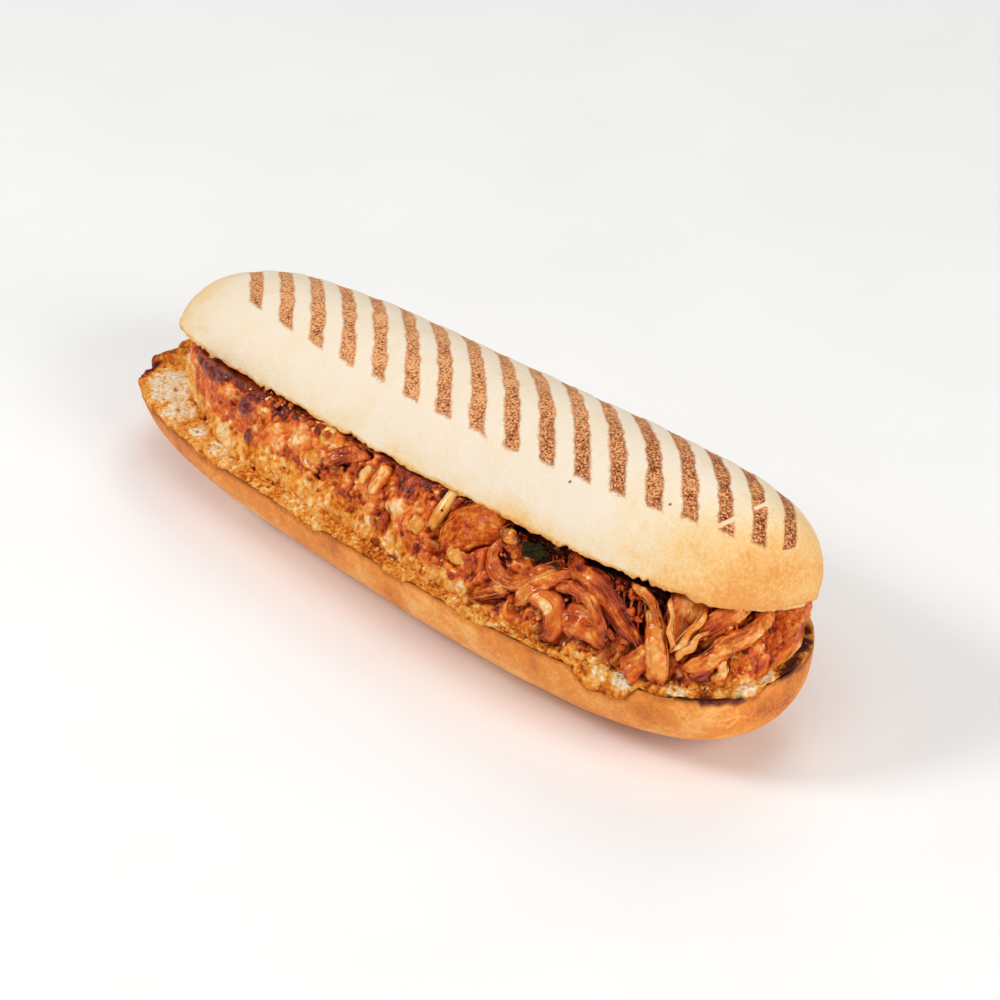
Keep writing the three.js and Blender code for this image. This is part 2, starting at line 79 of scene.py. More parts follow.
# azimuth and elevation of where each lamp stands, its distance and side in millimetres, watts
LAMPS = {
    "key_lamp": (-38.0, 42.0, 1100.0, 300.0, 5.1),
    "side_lamp": (92.0, 28.0, 1300.0, 700.0, 8.3),
    "top_lamp": (20.0, 78.0, 1300.0, 800.0, 3.4),
    "back_lamp": (205.0, 48.0, 1300.0, 700.0, 3.6),
    "front_lamp": (50.0, 17.0, 1200.0, 500.0, 1.2),
}
for name, (azimuth, elevation, distance, side, watts) in LAMPS.items():
    lamp = bpy.data.objects.new(name, bpy.data.lights.new(name, "AREA"))
    lamp.data.energy = watts
    lamp.data.size = side * MM
    axes = view_axes(np.radians(azimuth), np.radians(elevation), 0.0)
    place_facing(lamp, axes[2] * distance, *axes)


def linear(code):
    """Linear red, green, blue and alpha of an sRGB hex colour such as '#F4E4D1'."""
    srgb = np.array([int(code[i:i + 2], 16) for i in (1, 3, 5)]) / 255.0
    low = srgb / 12.92
    high = ((srgb + 0.055) / 1.055) ** 2.4
    return (*np.where(srgb <= 0.04045, low, high).tolist(), 1.0)


def add_node(tree, kind, inputs=(), stops=(), out=None, **settings):
    """Adds a node and gives its output `out`, or else the first one in use. `inputs` maps a
    socket to a value or to the output that feeds it, and `stops` are a colour ramp's places
    and hex colours."""
    node = tree.nodes.new("ShaderNode" + kind)
    for setting, value in settings.items():
        setattr(node, setting, value)
    for socket, value in dict(inputs).items():
        if isinstance(value, bpy.types.NodeSocket):
            tree.links.new(value, node.inputs[socket])
        else:
            node.inputs[socket].default_value = value
    if stops:
        while len(node.color_ramp.elements) < len(stops):
            node.color_ramp.elements.new(1.0)
        for element, (place, code) in zip(node.color_ramp.elements, stops):
            element.position = place
            element.color = linear(code)
    return node.outputs[out] if out else next((o for o in node.outputs if o.enabled), None)


def new_material(name):
    """An empty material and its tree."""
    material = bpy.data.materials.new(name)
    material.use_nodes = True
    material.node_tree.nodes.clear()
    return material, material.node_tree


def finish_material(tree, inputs):
    """Ends a material with one shader, given by its inputs."""
    add_node(tree, "OutputMaterial", {"Surface": add_node(tree, "BsdfPrincipled", inputs)})


# Matt white photo board: even, with a faint grain
floor_material, tree = new_material("white_photo_board")
grain = add_node(tree, "TexNoise", {"Scale": 60.0, "Detail": 2.0})
board = add_node(tree, "ValToRGB", {"Fac": grain}, stops=[(0.3, "#F6F6F5"), (0.7, "#F9F9F8")])
finish_material(tree, {"Base Color": board, "Roughness": 0.9, "Specular IOR Level": 0.1})
floor_mesh = bpy.data.meshes.new("floor")
edge = FLOOR_SIZE / 2 * MM
floor_mesh.from_pydata([(-edge, -edge, 0), (edge, -edge, 0), (edge, edge, 0), (-edge, edge, 0)], [],
    [(0, 1, 2, 3)])
floor_mesh.materials.append(floor_material)
floor = bpy.data.objects.new("floor", floor_mesh)
bpy.context.scene.collection.objects.link(floor)

world = bpy.data.worlds.new("pale_surround")
world.use_nodes = True
world.node_tree.nodes["Background"].inputs["Color"].default_value = linear("#FFFEFC")
world.node_tree.nodes["Background"].inputs["Strength"].default_value = 0.2
bpy.context.scene.world = world
bpy.context.scene.view_settings.view_transform = "Standard"

# The base: the lower half of the baked roll. Its thin golden crust is smooth and dull, and
# the cut face inside is torn crumb, toasted orange by the grill and stained by the sauce.
BASE_LENGTH = 240.4
BASE_WIDTH = 76.5
HALF_LENGTH, HALF_WIDTH = BASE_LENGTH / 2, BASE_WIDTH / 2
BASE_ENDS = (3.47, 2.91)          # powers of the outline from above, at the slim and the full end
BASE_SECTION = (2.47, 2.56)       # powers of the bowl's section, across and down
BASE_DEPTH_ENDS = (3.5, 4.15)     # powers by which its depth rounds off towards the two ends
CRUST_RELIEF = 0.35               # how uneven both crusts are
BASE_WAVE, LID_WAVE = 34, 38      # the stretch over which each rises and falls
CUT_HEIGHT = 25.7                 # height of the cut at the middle of the roll
CUT_RISE = 0.035                  # rise of the cut for each millimetre along +X
CUT_WORN = 2.0                    # how much lower the rim is worn at the slimmer end
END_LIFT = 1.5                    # how far the bottom lifts towards the two ends
REST_DEPTH = 0.5                  # the underside is pressed flat by this much
HINGE_GAP = 0.5
LID_HALF_LENGTH = 230.6 / 2
LID_CENTRE = np.array([0.65, 7.5, 34.8])
LID_LEAN, LID_PITCH, LID_YAW = np.radians([-21.6, -3.5, -0.4])
LID_SAG = 1.75
lid_turn = np.array(Matrix.Rotation(LID_YAW, 3, "Z") @ Matrix.Rotation(LID_PITCH, 3, "Y")
    @ Matrix.Rotation(LID_LEAN, 3, "X"))


def join(*coordinates):
    """Points, or plan points, made of their coordinates."""
    return np.stack(np.broadcast_arrays(*coordinates), -1)


def unit(vectors):
    """Vectors made one long."""
    return vectors / np.maximum(np.linalg.norm(vectors, axis=-1, keepdims=True), 1e-9)


def away_from(points, place):
    """How far each point is from a place."""
    return np.linalg.norm(points - place, axis=-1)


def signed_power(value, power):
    """A power that keeps the sign of the value."""
    return np.sign(value) * np.abs(value) ** power


def smoothstep(value, low, high):
    """0 below `low`, 1 above `high`, and 3t^2 - 2t^3 between them."""
    t = np.clip((value - low) / (high - low), 0.0, 1.0)
    return t * t * (3.0 - 2.0 * t)


def end_rounding(c, left_power, right_power):
    """Share of the full size left at c, from -1 to 1 along the roll: (1 - |c|^p)^(1/p)."""
    power = np.where(c < 0, left_power, right_power)
    return np.maximum(0.0, 1.0 - np.abs(c) ** power) ** (1.0 / power)


def unevenness(x, y, z, size):
    """The mean of three sine waves that cross each other, about `size` millimetres long."""
    k = 2 * np.pi / size
    return (np.sin(k * (x + 0.6 * y) + 1.3) + np.sin(k * (0.7 * y - 1.2 * z) + 0.4)
        + np.sin(k * (0.8 * z - 0.9 * x + 0.3 * y) + 2.1)) / 3.0


def lattice_number(cell, seed):
    """A repeatable number from 0 to 1 for each whole-numbered place: its three numbers are
    multiplied by large odd factors and their bits are mixed."""
    word = cell[..., 0] * 73856093 ^ cell[..., 1] * 19349663 ^ cell[..., 2] * 83492791
    word = (word ^ (seed * 1013904223 + 12345)) & 0xFFFFFFFF
    word = ((word ^ (word >> 15)) * 2246822519) & 0xFFFFFFFF
    word = ((word ^ (word >> 13)) * 3266489917) & 0xFFFFFFFF
    return (word ^ (word >> 16)) / 4294967295.0


def cloud(points, size, seed=0):
    """Smooth noise from -1 to 1: random numbers on a lattice `size` apart, blended along each
    axis by 3t^2 - 2t^3."""
    place = points / size
    cell = np.floor(place).astype(np.int64)
    t = place - cell
    t = t * t * (3.0 - 2.0 * t)
    total = np.zeros(points.shape[:-1])
    for corner in np.ndindex(2, 2, 2):
        share = np.prod(np.where(corner, t, 1.0 - t), axis=-1)
        total += share * lattice_number(cell + np.array(corner), seed)
    return 2.0 * total - 1.0


def clouds(points, size, layers=3, seed=0):
    """Layers of cloud noise, each half as large and half as strong as the last, from -1 to 1."""
    weights = 0.5 ** np.arange(layers)
    total = sum(w * cloud(points, size * w, seed + i) for i, w in enumerate(weights))
    return total / weights.sum()


def cobbles(points, size, seed=0):
    """Distances, in units of `size`, to the nearest and the next of a set of scattered points,
    one in each cell of a lattice, with a random number from 0 to 1 of the nearest one."""
    place = points / size
    home = np.floor(place).astype(np.int64)
    nearest = np.full(points.shape[:-1], 9.0)
    second = nearest.copy()
    number = np.zeros(points.shape[:-1])
    for step in np.ndindex(3, 3, 3):
        cell = home + np.array(step) - 1
        jitter = np.stack([lattice_number(cell, seed + axis) for axis in range(3)], -1)
        distance = np.linalg.norm(cell + jitter - place, axis=-1)
        closer = distance < nearest
        second = np.where(closer, nearest, np.minimum(second, distance))
        number = np.where(closer, lattice_number(cell, seed + 3), number)
        nearest = np.where(closer, distance, nearest)
    return nearest, second, number


def cut_plane(x):
    """Height of the cut: it rises evenly along +X, and is worn down at the slimmer end."""
    return CUT_HEIGHT + CUT_RISE * x - CUT_WORN * smoothstep(-x, 98, 116)


def lid_to_roll(points):
    """Turns points of the lid's own frame into the roll's: lean, pitch and yaw, then its centre."""
    return points @ lid_turn.T + LID_CENTRE


def lid_underside(x, y):
    """Height of the lid's cut face above a plan point, found by four steps that each move the
    local point by what is still missing in plan."""
    x, y = np.broadcast_arrays(x, y)
    local_x = x - LID_CENTRE[0]
    local_y = (y - LID_CENTRE[1]) / np.cos(LID_LEAN)
    for _ in range(4):
        world_point = lid_to_roll(join(local_x, local_y,
            LID_SAG * np.clip(local_x / LID_HALF_LENGTH, -1, 1) ** 2))
        local_x = local_x + x - world_point[..., 0]
        local_y = local_y + (y - world_point[..., 1]) / np.cos(LID_LEAN)
    return world_point[..., 2]


def cut_height(x, y):
    """Height of the base's cut face: level across, and pressed down under the lid's back edge."""
    return np.minimum(cut_plane(x), lid_underside(x, y) - HINGE_GAP)


def on_cut_face(plan, lift=0.0):
    """Points over plan points, at a height above the base's cut face."""
    return np.concatenate([plan, (cut_height(plan[..., 0], plan[..., 1]) + lift)[..., None]], -1)


def base_half_width(c):
    """Half the base's width at c: a superellipse in plan."""
    return HALF_WIDTH * end_rounding(c, *BASE_ENDS)


def base_crust(c, angle):
    """The bowl below the cut: a superellipse across, from one rim at 0 to the other at pi,
    whose depth rounds off towards the ends and which is pressed flat where it rests."""
    x = c * HALF_LENGTH
    relief = CRUST_RELIEF * unevenness(x, 60 * angle, 0, BASE_WAVE) * np.sin(angle)
    y = base_half_width(c) * signed_power(-np.cos(angle), 2 / BASE_SECTION[0])
    top = cut_height(x, y)
    depth = top - END_LIFT * c * c + REST_DEPTH + relief
    section = signed_power(np.maximum(np.sin(angle), 0.0), 2 / BASE_SECTION[1])
    return join(x, y, np.maximum(0.0, top - depth * end_rounding(c, *BASE_DEPTH_ENDS) * section))


def base_cut(c, across):
    """The cut face, from -1 at one rim to 1 at the other."""
    return on_cut_face(join(c * HALF_LENGTH, base_half_width(c) * across))


def half_roll(crust, cut, half_width, half_length, count, crust_steps, cut_steps):
    """A half's crust and cut face as one grid of rings, with c from -1 to 1 so that the rings
    lie evenly along the outline seen from above. Also gives c, and 1 for each point of the cut."""
    c = -np.cos(np.linspace(0.0, np.pi, 4001))
    steps = np.hypot(np.diff(c * half_length), np.diff(half_width(c)))
    run = np.concatenate([[0.0], np.cumsum(steps)])
    c = np.interp(np.linspace(0.0, run[-1], count + 2)[1:-1], run, c)[:, None]
    angle = np.pi * np.linspace(0.0, 1.0, crust_steps + 1)[None, :]
    across = np.linspace(1.0, -1.0, cut_steps + 1)[None, 1:-1]
    grid = np.concatenate([crust(c, angle), cut(c, across)], axis=1)
    return grid, c, (np.arange(grid.shape[1]) > crust_steps) + np.zeros(grid.shape[:2])


def ring_normals(grid):
    """Unit normals of a grid of closed rings: the cross product of the differences along and
    around, turned outwards from the rings' centres."""
    around = (np.roll(grid, -1, axis=1) - np.roll(grid, 1, axis=1)) / 2
    normal = unit(np.cross(np.gradient(grid, axis=0), around))
    outward = grid - grid.mean(axis=1, keepdims=True)
    return normal * np.sign((normal * outward).sum(-1).mean())


def pushed(grid, relief):
    """A grid of rings moved outwards by a relief in millimetres."""
    return grid + ring_normals(grid) * relief[..., None]


def ring_faces(rings, around):
    """Four-cornered faces between closed rings, and the three-cornered ones to the two poles,
    which are the first and the last vertex."""
    ring, i = np.meshgrid(np.arange(rings - 1), np.arange(around), indexing="ij")
    after = (i + 1) % around
    quads = np.stack([1 + ring * around + i, 1 + ring * around + after, 1 + (ring + 1) * around + after, 1
        + (ring + 1) * around + i], -1)
    i = np.arange(around)
    after = (i + 1) % around
    last = 1 + rings * around
    start = last - around
    first_cap = np.stack([np.zeros_like(i), 1 + after, 1 + i], -1)
    last_cap = np.stack([np.full_like(i, last), start + i, start + after], -1)
    return quads.reshape(-1, 4), np.concatenate([first_cap, last_cap])


def piece_from_faces(name, points, quads, triangles, material):
    """Makes a smooth-shaded object of points in millimetres, turned right side out by the sign
    of the volume that its faces enclose."""
    halves = [triangles, quads[:, [0, 1, 2]], quads[:, [0, 2, 3]]]
    a, b, c = (points[np.concatenate(halves)[:, k]] for k in range(3))
    if np.einsum("ij,ij->i", a, np.cross(b, c)).sum() < 0:
        quads, triangles = quads[:, ::-1], triangles[:, ::-1]
    mesh = bpy.data.meshes.new(name)
    mesh.vertices.add(len(points))
    mesh.vertices.foreach_set("co", (points * MM).astype(np.float32).ravel())
    corners = np.concatenate([quads.ravel(), triangles.ravel()]).astype(np.int32)
    sizes = np.concatenate([np.full(len(quads), 4), np.full(len(triangles), 3)]).astype(np.int32)
    mesh.loops.add(len(corners))
    mesh.loops.foreach_set("vertex_index", corners)
    mesh.polygons.add(len(sizes))
    mesh.polygons.foreach_set("loop_start", (np.cumsum(sizes) - sizes).astype(np.int32))
    mesh.polygons.foreach_set("loop_total", sizes)
    mesh.update(calc_edges=True)
    mesh.shade_smooth()
    mesh.materials.append(material)
    piece = bpy.data.objects.new(name, mesh)
    bpy.context.scene.collection.objects.link(piece)
    return piece


def piece_from_rings(name, grid, material, **attributes):
    """Makes an object of a grid of closed rings. Each end is closed at its ring's centre, and
    the attributes are numbers or vectors for each point of the grid."""
    rings, around = grid.shape[:2]
    with_poles = [np.concatenate([values[:1].mean(1), values.reshape(-1, *values.shape[2:]),
        values[-1:].mean(1)]) for values in (grid, *attributes.values())]
    piece = piece_from_faces(name, with_poles[0], *ring_faces(rings, around), material)
    for attribute, values in zip(attributes, with_poles[1:]):
        paint(piece, attribute, values)
    return piece


def paint(piece, attribute, values):
    """Stores a number or a vector for each vertex."""
    kind, field = ("FLOAT", "value") if values.ndim == 1 else ("FLOAT_VECTOR", "vector")
    layer = piece.data.attributes.new(attribute, kind, "POINT")
    layer.data.foreach_set(field, values.astype(np.float32).ravel())


def rim_distance(x, y):
    """About how far inside the rim a plan point lies: 1 - |x / l|^p - |y / w|^p over its slope."""
    power = np.where(x < 0, *BASE_ENDS)
    u, v = np.abs(x) / HALF_LENGTH, np.abs(y) / HALF_WIDTH
    slope = power * np.hypot(u ** (power - 1) / HALF_LENGTH, v ** (power - 1) / HALF_WIDTH)
    return (1 - u ** power - v ** power) / np.maximum(slope, 1e-3)


def rim_facing(x, y):
    """The way the rim faces in plan: the slope of |x / l|^p + |y / w|^p, made a unit vector."""
    power = np.where(x < 0, *BASE_ENDS)
    return unit(join(signed_power(x / HALF_LENGTH, power - 1) / HALF_LENGTH,
        signed_power(y / HALF_WIDTH, power - 1) / HALF_WIDTH))


# where the crust was torn away below the rim: middle, reach and depth
RIM_TEARS = [((88.0, -33.0), 13.0, 5.6), ((103.5, -27.0), 6.0, 1.2), ((118.6, -11.0), 6.0, 1.5),
    ((44.0, -37.6), 9.0, 1.8), ((14.0, -38.2), 7.0, 1.2), ((-22.0, -38.2), 10.0, 1.6),
    ((-66.0, -36.8), 9.0, 1.8), ((-104.0, -27.0), 12.0, 1.6), ((120.0, 8.0), 5.0, 0.8)]
TEAR_BEVEL = 0.4                   # how far a tear slants inwards for each millimetre of depth


def tear_depth(x, y):
    """How far below the rim the crust is gone: a frayed millimetre, and more at each tear."""
    plan = join(x, y, 0.0)
    depth = 0.9 + 0.7 * clouds(plan, 3.0, 3, seed=23) + 0.25 * clouds(plan, 1.1, 2, seed=22)
    for middle, reach, deepest in RIM_TEARS:
        away = np.hypot(x - middle[0], y - middle[1]) / reach
        depth = depth + deepest * smoothstep(1 - away + 0.2 * clouds(plan, 5.0, 2, seed=24), 0.0, 0.7)
    return np.maximum(depth, 0.3)


BASE_STATIONS, CRUST_STEPS, CUT_STEPS = 640, 128, 24
CRUST_GRAIN = 0.05                 # the crust's fine wrinkles
CUT_SUNK = 2.4                     # how far the cut face lies under the torn crumb on it
RIM_SUNK = 1.6                     # how far the rim itself does
grid, _, on_cut = half_roll(base_crust, base_cut, base_half_width, HALF_LENGTH, BASE_STATIONS,
    CRUST_STEPS, CUT_STEPS)
below_rim = cut_height(grid[..., 0], grid[..., 1]) - grid[..., 2]
wrinkle = clouds(grid, 1.6, 2, seed=21) * CRUST_GRAIN + 0.3 * clouds(grid, 13.0, 2, seed=5)
torn_depth = tear_depth(grid[..., 0], grid[..., 1])
torn = (1 - on_cut) * (1 - smoothstep(below_rim - torn_depth, -0.3, 0.3))
grid = pushed(grid, (1 - on_cut) * wrinkle * smoothstep(grid[..., 2], 0.05, 2.0))
open_side = 1 - smoothstep(grid[..., 1], 14, 22)
gone = (TEAR_BEVEL * np.maximum(torn_depth - below_rim, 0) + 1.0) * torn * open_side
grid[..., :2] -= rim_facing(grid[..., 0], grid[..., 1]) * gone[..., None]
inside_rim = smoothstep(rim_distance(grid[..., 0], grid[..., 1]), 0.2, 1.6)
torn = np.maximum(torn, on_cut)
sunk = CUT_SUNK * on_cut * inside_rim + RIM_SUNK * torn * (1 - smoothstep(below_rim, 0.2, 1.4))
grid[..., 2] = np.maximum(grid[..., 2] - sunk * open_side, 0.0)

# bars and spots where the hot plates charred the rim: start, end and half their breadth
CHAR_BARS = [((112.5, -20.7, 28.4), (118.2, -13.4, 28.0), 2.0),
    ((105.0, -26.2, 28.4), (112.5, -20.7, 28.8), 0.9), ((114.8, 15.5, 29.6), (120.2, 2.0, 29.0), 2.9),
    ((110.5, 19.8, 29.6), (111.8, 18.6, 29.6), 2.2), ((-118.0, -13.0, 20.8), (-117.0, -20.0, 20.4), 1.3)]
# fine pale cracks that run out from one point of the front crust: that point and their ends
CRACK_START = (117.9, -12.9, 22.4)
CRACK_ENDS = [(117.4, -13.6, 25.6), (115.2, -17.6, 21.4), (118.9, -7.4, 19.4), (116.0, -14.8, 18.6)]


def bar_distance(points, start, end):
    """Distance from each point to the straight stretch between two points."""
    start, way = np.array(start), np.subtract(end, start)
    along = np.clip((points - start) @ way / (way @ way), 0, 1)
    return np.linalg.norm(points - start - along[..., None] * way, axis=-1)


def charring(points):
    """How charred each point is, from 0 to 1: 1 inside a bar, with an edge frayed by noise."""
    fray = 0.5 * clouds(points, 1.6, 3, seed=31)
    return np.max([smoothstep(1 - bar_distance(points, start, end) / half_breadth + fray, -0.15, 0.75)
        for start, end, half_breadth in CHAR_BARS], axis=0)


char = charring(grid)
cracked = np.max([1 - smoothstep(bar_distance(grid, CRACK_START, end), 0.1, 0.6) for end in CRACK_ENDS],
    axis=0)
baked = 0.5 + 0.42 * clouds(grid, 11.0, 3, seed=30) + 0.12 * clouds(grid, 1.8, 2, seed=32)
baked += 0.35 * (1 - smoothstep(below_rim - torn_depth, 0.0, 2.0)) - 0.24 * cracked
baked += 0.2 * smoothstep(grid[..., 0], 117, 120)
baked = np.clip(baked, 0, 1)

# Baked wheat crust: golden, thin and quite dull, with a net of fine pale wrinkles that is
# drawn about a millimetre wide
base_material, tree = new_material("baked_wheat_crust")
place = add_node(tree, "TexCoord", out="Object")
masks = {name: add_node(tree, "Attribute", out="Fac", attribute_name=name)
    for name in ("torn", "char", "baked")}
fine = add_node(tree, "TexNoise", {"Vector": place, "Scale": 1100.0, "Detail": 4.0, "Roughness": 0.6})
broad = add_node(tree, "TexNoise", {"Vector": place, "Scale": 260.0, "Detail": 4.0, "Roughness": 0.6})
net = add_node(tree, "TexVoronoi", {"Vector": place, "Scale": 620.0}, feature="DISTANCE_TO_EDGE")
net_line = add_node(tree, "MapRange", {"Value": net, "From Max": 0.16, "To Min": -0.10, "To Max": 0.02})
tone_sum = add_node(tree, "Math", {0: fine, 1: 0.55, 2: masks["baked"]}, operation="MULTIPLY_ADD")
tone_sum = add_node(tree, "Math", {0: broad, 1: 0.45, 2: tone_sum}, operation="MULTIPLY_ADD")
tone_sum = add_node(tree, "Math", {0: tone_sum, 1: net_line}, operation="ADD")
crust = add_node(tree, "ValToRGB", {"Fac": tone_sum},
    stops=[(0.62, "#FBBE72"), (0.86, "#F4A24C"), (1.0, "#E98C34")])
deep_bake = add_node(tree, "MapRange", {"Value": tone_sum, "From Min": 1.05, "From Max": 1.5})
charred = add_node(tree, "ValToRGB", {"Fac": fine},
    stops=[(0.35, "#3E120A"), (0.55, "#671F10"), (0.7, "#8C3419")])
colour = crust
for share, other in ((deep_bake, linear("#B55A22")), (masks["torn"], linear("#E9A24C")),
        (masks["char"], charred)):
    colour = add_node(tree, "Mix", {0: share, 6: colour, 7: other}, data_type="RGBA")
grain = add_node(tree, "Bump", {"Height": tone_sum, "Strength": 0.5, "Distance": 0.0004}, invert=True)
finish_material(tree, {"Base Color": colour, "Roughness": 0.6, "Specular IOR Level": 0.3, "Normal": grain,
    "Subsurface Weight": 0.12, "Subsurface Radius": (1.0, 0.45, 0.2), "Subsurface Scale": 0.0015})

base = piece_from_rings("bread_base_crust", grid, base_material, torn=torn, char=char, baked=baked)
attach(base, "root")
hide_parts("bread_base")

# The torn margin of the base: the open crumb that shows between the crust and the filling. It
# was toasted orange on the grill, and is cream where it was torn last.
BAND_STATIONS, BAND_STEPS = 1500, 36
DRAPE_STEPS = 14                   # steps down the torn rim
BAND_REACH = 2.5                   # how far the crumb runs on under the filling
BAND_FIRST, BAND_LAST = -np.pi - 0.42, 0.42
PORE_SIZE = 2.5
CRUMB_GRAIN = 1.0
FRONT_SHARE, BACK_SHARE = 0.87, 0.93   # how far out the filling reaches, as shares of the base
END_SHARES = (0.885, 0.975)            # and at the slim and the full end
MOUTH_BACK = 30.0                      # where the filling ends behind, if the mouth is open there
MOUTH_LEAST = 2.4                      # by this much
MOUTH_SLOPE = 0.395                    # how fast the mouth closes towards the back


def base_outline(turn):
    """Plan point of the base's rim. `turn` goes round the roll, negative in front."""
    c = np.cos(turn)
    return join(c * HALF_LENGTH, np.where(np.sin(turn) <= 0, -1.0, 1.0) * base_half_width(c))


def heap_foot(turn):
    """Plan point where the filling runs out: a share of the rim's distance from the spine."""
    c = np.cos(turn)
    front = FRONT_SHARE + 0.08 * smoothstep(c, -0.1, 0.6) - 0.2 * smoothstep(-c, 0.55, 1)
    front = front - 0.045 * smoothstep(c, 0.66, 0.76)
    x = c * HALF_LENGTH * np.where(c < 0, *END_SHARES)
    half_width = base_half_width(c)
    opening = lid_underside(x, MOUTH_BACK) - cut_plane(x) - MOUTH_LEAST
    back = np.minimum(BACK_SHARE * half_width, MOUTH_BACK + opening / MOUTH_SLOPE)
    return join(x, np.where(np.sin(turn) <= 0, -half_width * front, back))


def run_along(points):
    """How far it is along a line to each of its points."""
    return np.concatenate([[0.0], np.cumsum(np.linalg.norm(np.diff(points, axis=0), axis=1))])


def turns_evenly(route, first, last, count):
    """Turns from first to last whose plan points on a route lie evenly along it."""
    turn = np.linspace(first, last, 6001)
    run = run_along(route(turn))
    return np.interp((np.arange(count) + 0.5) / count * run[-1], run, turn)


# middle, reach and tone of the places that were torn pale or toasted dark, from 0 to 1
CRUMB_PLACES = [((-104, -20, 22), 15.0, 0.93), ((-91, -27, 22.5), 8.0, 0.90), ((-78, -31, 23), 3.2, 0.95),
    ((-66, -32, 23.5), 6.0, 0.88), ((-48, -34, 24), 8.0, 0.5), ((-30, -35, 25), 7.0, 0.72),
    ((-12, -35.5, 25), 6.0, 0.55), ((4, -36, 26), 5.0, 0.36), ((70, -34, 28), 7.0, 0.5),
    ((92.0, -29.6, 28.6), 4.6, 0.92), ((85, -31.0, 28.2), 3.6, 0.88), ((106.5, -24.8, 29.5), 4.0, 0.90),
    ((101.0, -27.6, 29), 3.6, 0.4), ((116.2, -9.5, 29.8), 4.2, 0.92), ((118.0, -3.2, 30), 3.8, 0.92),
    ((112.0, -19.2, 29.6), 3.2, 0.3), ((119.0, 4.0, 30), 4.0, 0.4)]

band_turn = turns_evenly(base_outline, BAND_FIRST, BAND_LAST, BAND_STATIONS)[:, None]
outline = base_outline(band_turn)
away = rim_facing(outline[..., 0], outline[..., 1])
drape = tear_depth(outline[..., 0], outline[..., 1])
rim_point = outline - away * TEAR_BEVEL * drape[..., None]
to_foot = heap_foot(band_turn) - rim_point
band_width = np.linalg.norm(to_foot, axis=-1)
# distance from the rim: below 0 down the torn edge, above 0 across the crumb to the filling
from_rim = np.concatenate([-drape * (1 - np.arange(DRAPE_STEPS) / DRAPE_STEPS),
    (band_width + BAND_REACH) * np.linspace(0.0, 1.0, BAND_STEPS)], axis=1)
band_plan = (rim_point + away * TEAR_BEVEL * np.maximum(-from_rim, 0)[..., None]
    + to_foot / band_width[..., None] * np.maximum(from_rim, 0)[..., None])
band = on_cut_face(band_plan, np.minimum(from_rim, 0))
nearest, _, _ = cobbles(band, PORE_SIZE, seed=4)
bubbles = smoothstep(0.36 - nearest, 0.0, 0.24) * smoothstep(clouds(band, 5.0, 2, seed=7), -0.2, 0.3)
crumb_relief = 0.6 * clouds(band, 2.6, 3, seed=9) + 0.62 * clouds(band, CRUMB_GRAIN, 2, seed=10)
crumb_relief -= 0.7 * bubbles
left_end = smoothstep(-band[..., 0], 92, 106)
level = smoothstep(from_rim, -0.8, 1.2)
ridge = left_end * (1 - smoothstep(np.abs(from_rim - 0.4), 0.6, 3.2))
ridge = ridge * (1.2 + 1.8 * clouds(band, 4.0, 2, seed=12))
band_lift = 0.25 + crumb_relief * (0.45 + 0.55 * level) * (1 - 0.3 * left_end) + np.maximum(ridge, 0)
fade = smoothstep(np.abs(band_turn + np.pi / 2), np.pi / 2 + 0.2, np.pi / 2 + 0.4)
covered = smoothstep(from_rim + drape, 0.0, 0.7) * (1 - fade)
band_lift = band_lift * covered - 0.5 * (1 - covered)
facing_out = unit(np.concatenate([away * (1 - level)[..., None], level[..., None]], -1))
band_tone = 0.57 + 0.42 * clouds(band, 4.0, 3, seed=34) + 0.20 * clouds(band, 0.9, 2, seed=35)
band_tone += 0.14 * crumb_relief - 0.12 * bubbles
speckled = (0.3 - 0.2 * left_end) * clouds(band, 0.8, 2, seed=37) + 0.14 * crumb_relief - 0.1 * bubbles
for centre, reach, tone in CRUMB_PLACES:
    here = 1 - away_from(band, centre) / reach + 0.3 * clouds(band, 2.2, 3, seed=36)
    band_tone += (tone + speckled - band_tone) * smoothstep(here, 0.1, 0.45)
band_tone -= 0.34 * left_end * (1 - smoothstep(from_rim + 1.4 * clouds(band, 3.0, 2, seed=38), 0.2, 2.0))
band_tone -= 0.2 * smoothstep(from_rim - band_width + clouds(band, 2.5, 2, seed=39), -1.2, 0.4)
up_the_edge = smoothstep(from_rim + 0.8 * drape + 1.2 * clouds(band, 2.0, 3, seed=33), -1.0, 1.6)
band_tone -= 0.42 * (1 - up_the_edge) * np.clip(band_tone, 0, 1)
band = band + facing_out * band_lift[..., None]
inner = band[:, [-1, DRAPE_STEPS + BAND_STEPS // 2]] - [0.0, 0.0, 1.6]
outer = band[:, :1] - np.concatenate([away * 1.2, 0 * away[..., :1] - 0.2], -1)
band_tone = np.clip(np.concatenate([band_tone, band_tone[:, [-1, -1, 0]]], axis=1), 0, 1)
band = np.concatenate([band, inner, outer], axis=1)

# Toasted bread crumb: open, dry and rough, cream inside its bubbles' walls and orange to brown
# where the heat caught it. It scatters a little light inside, which softens its shadows.
TOAST_RAMP = [(0.0, "#6A260B"), (0.2, "#A9480F"), (0.38, "#DD7A1C"), (0.55, "#F1A03E"), (0.72, "#F7BE6A"),
    (0.87, "#FAE0B9"), (1.0, "#FEF0E3")]


def mottle(tree, tone, noise, low, high, span=(0.3, 0.7), clamp=False):
    """A tone with a noise added to it, whose values over a span are stretched from low to high."""
    change = add_node(tree, "MapRange", {"Value": noise, "From Min": span[0], "From Max": span[1],
        "To Min": low, "To Max": high})
    return add_node(tree, "Math", {0: tone, 1: change}, operation="ADD", use_clamp=clamp)


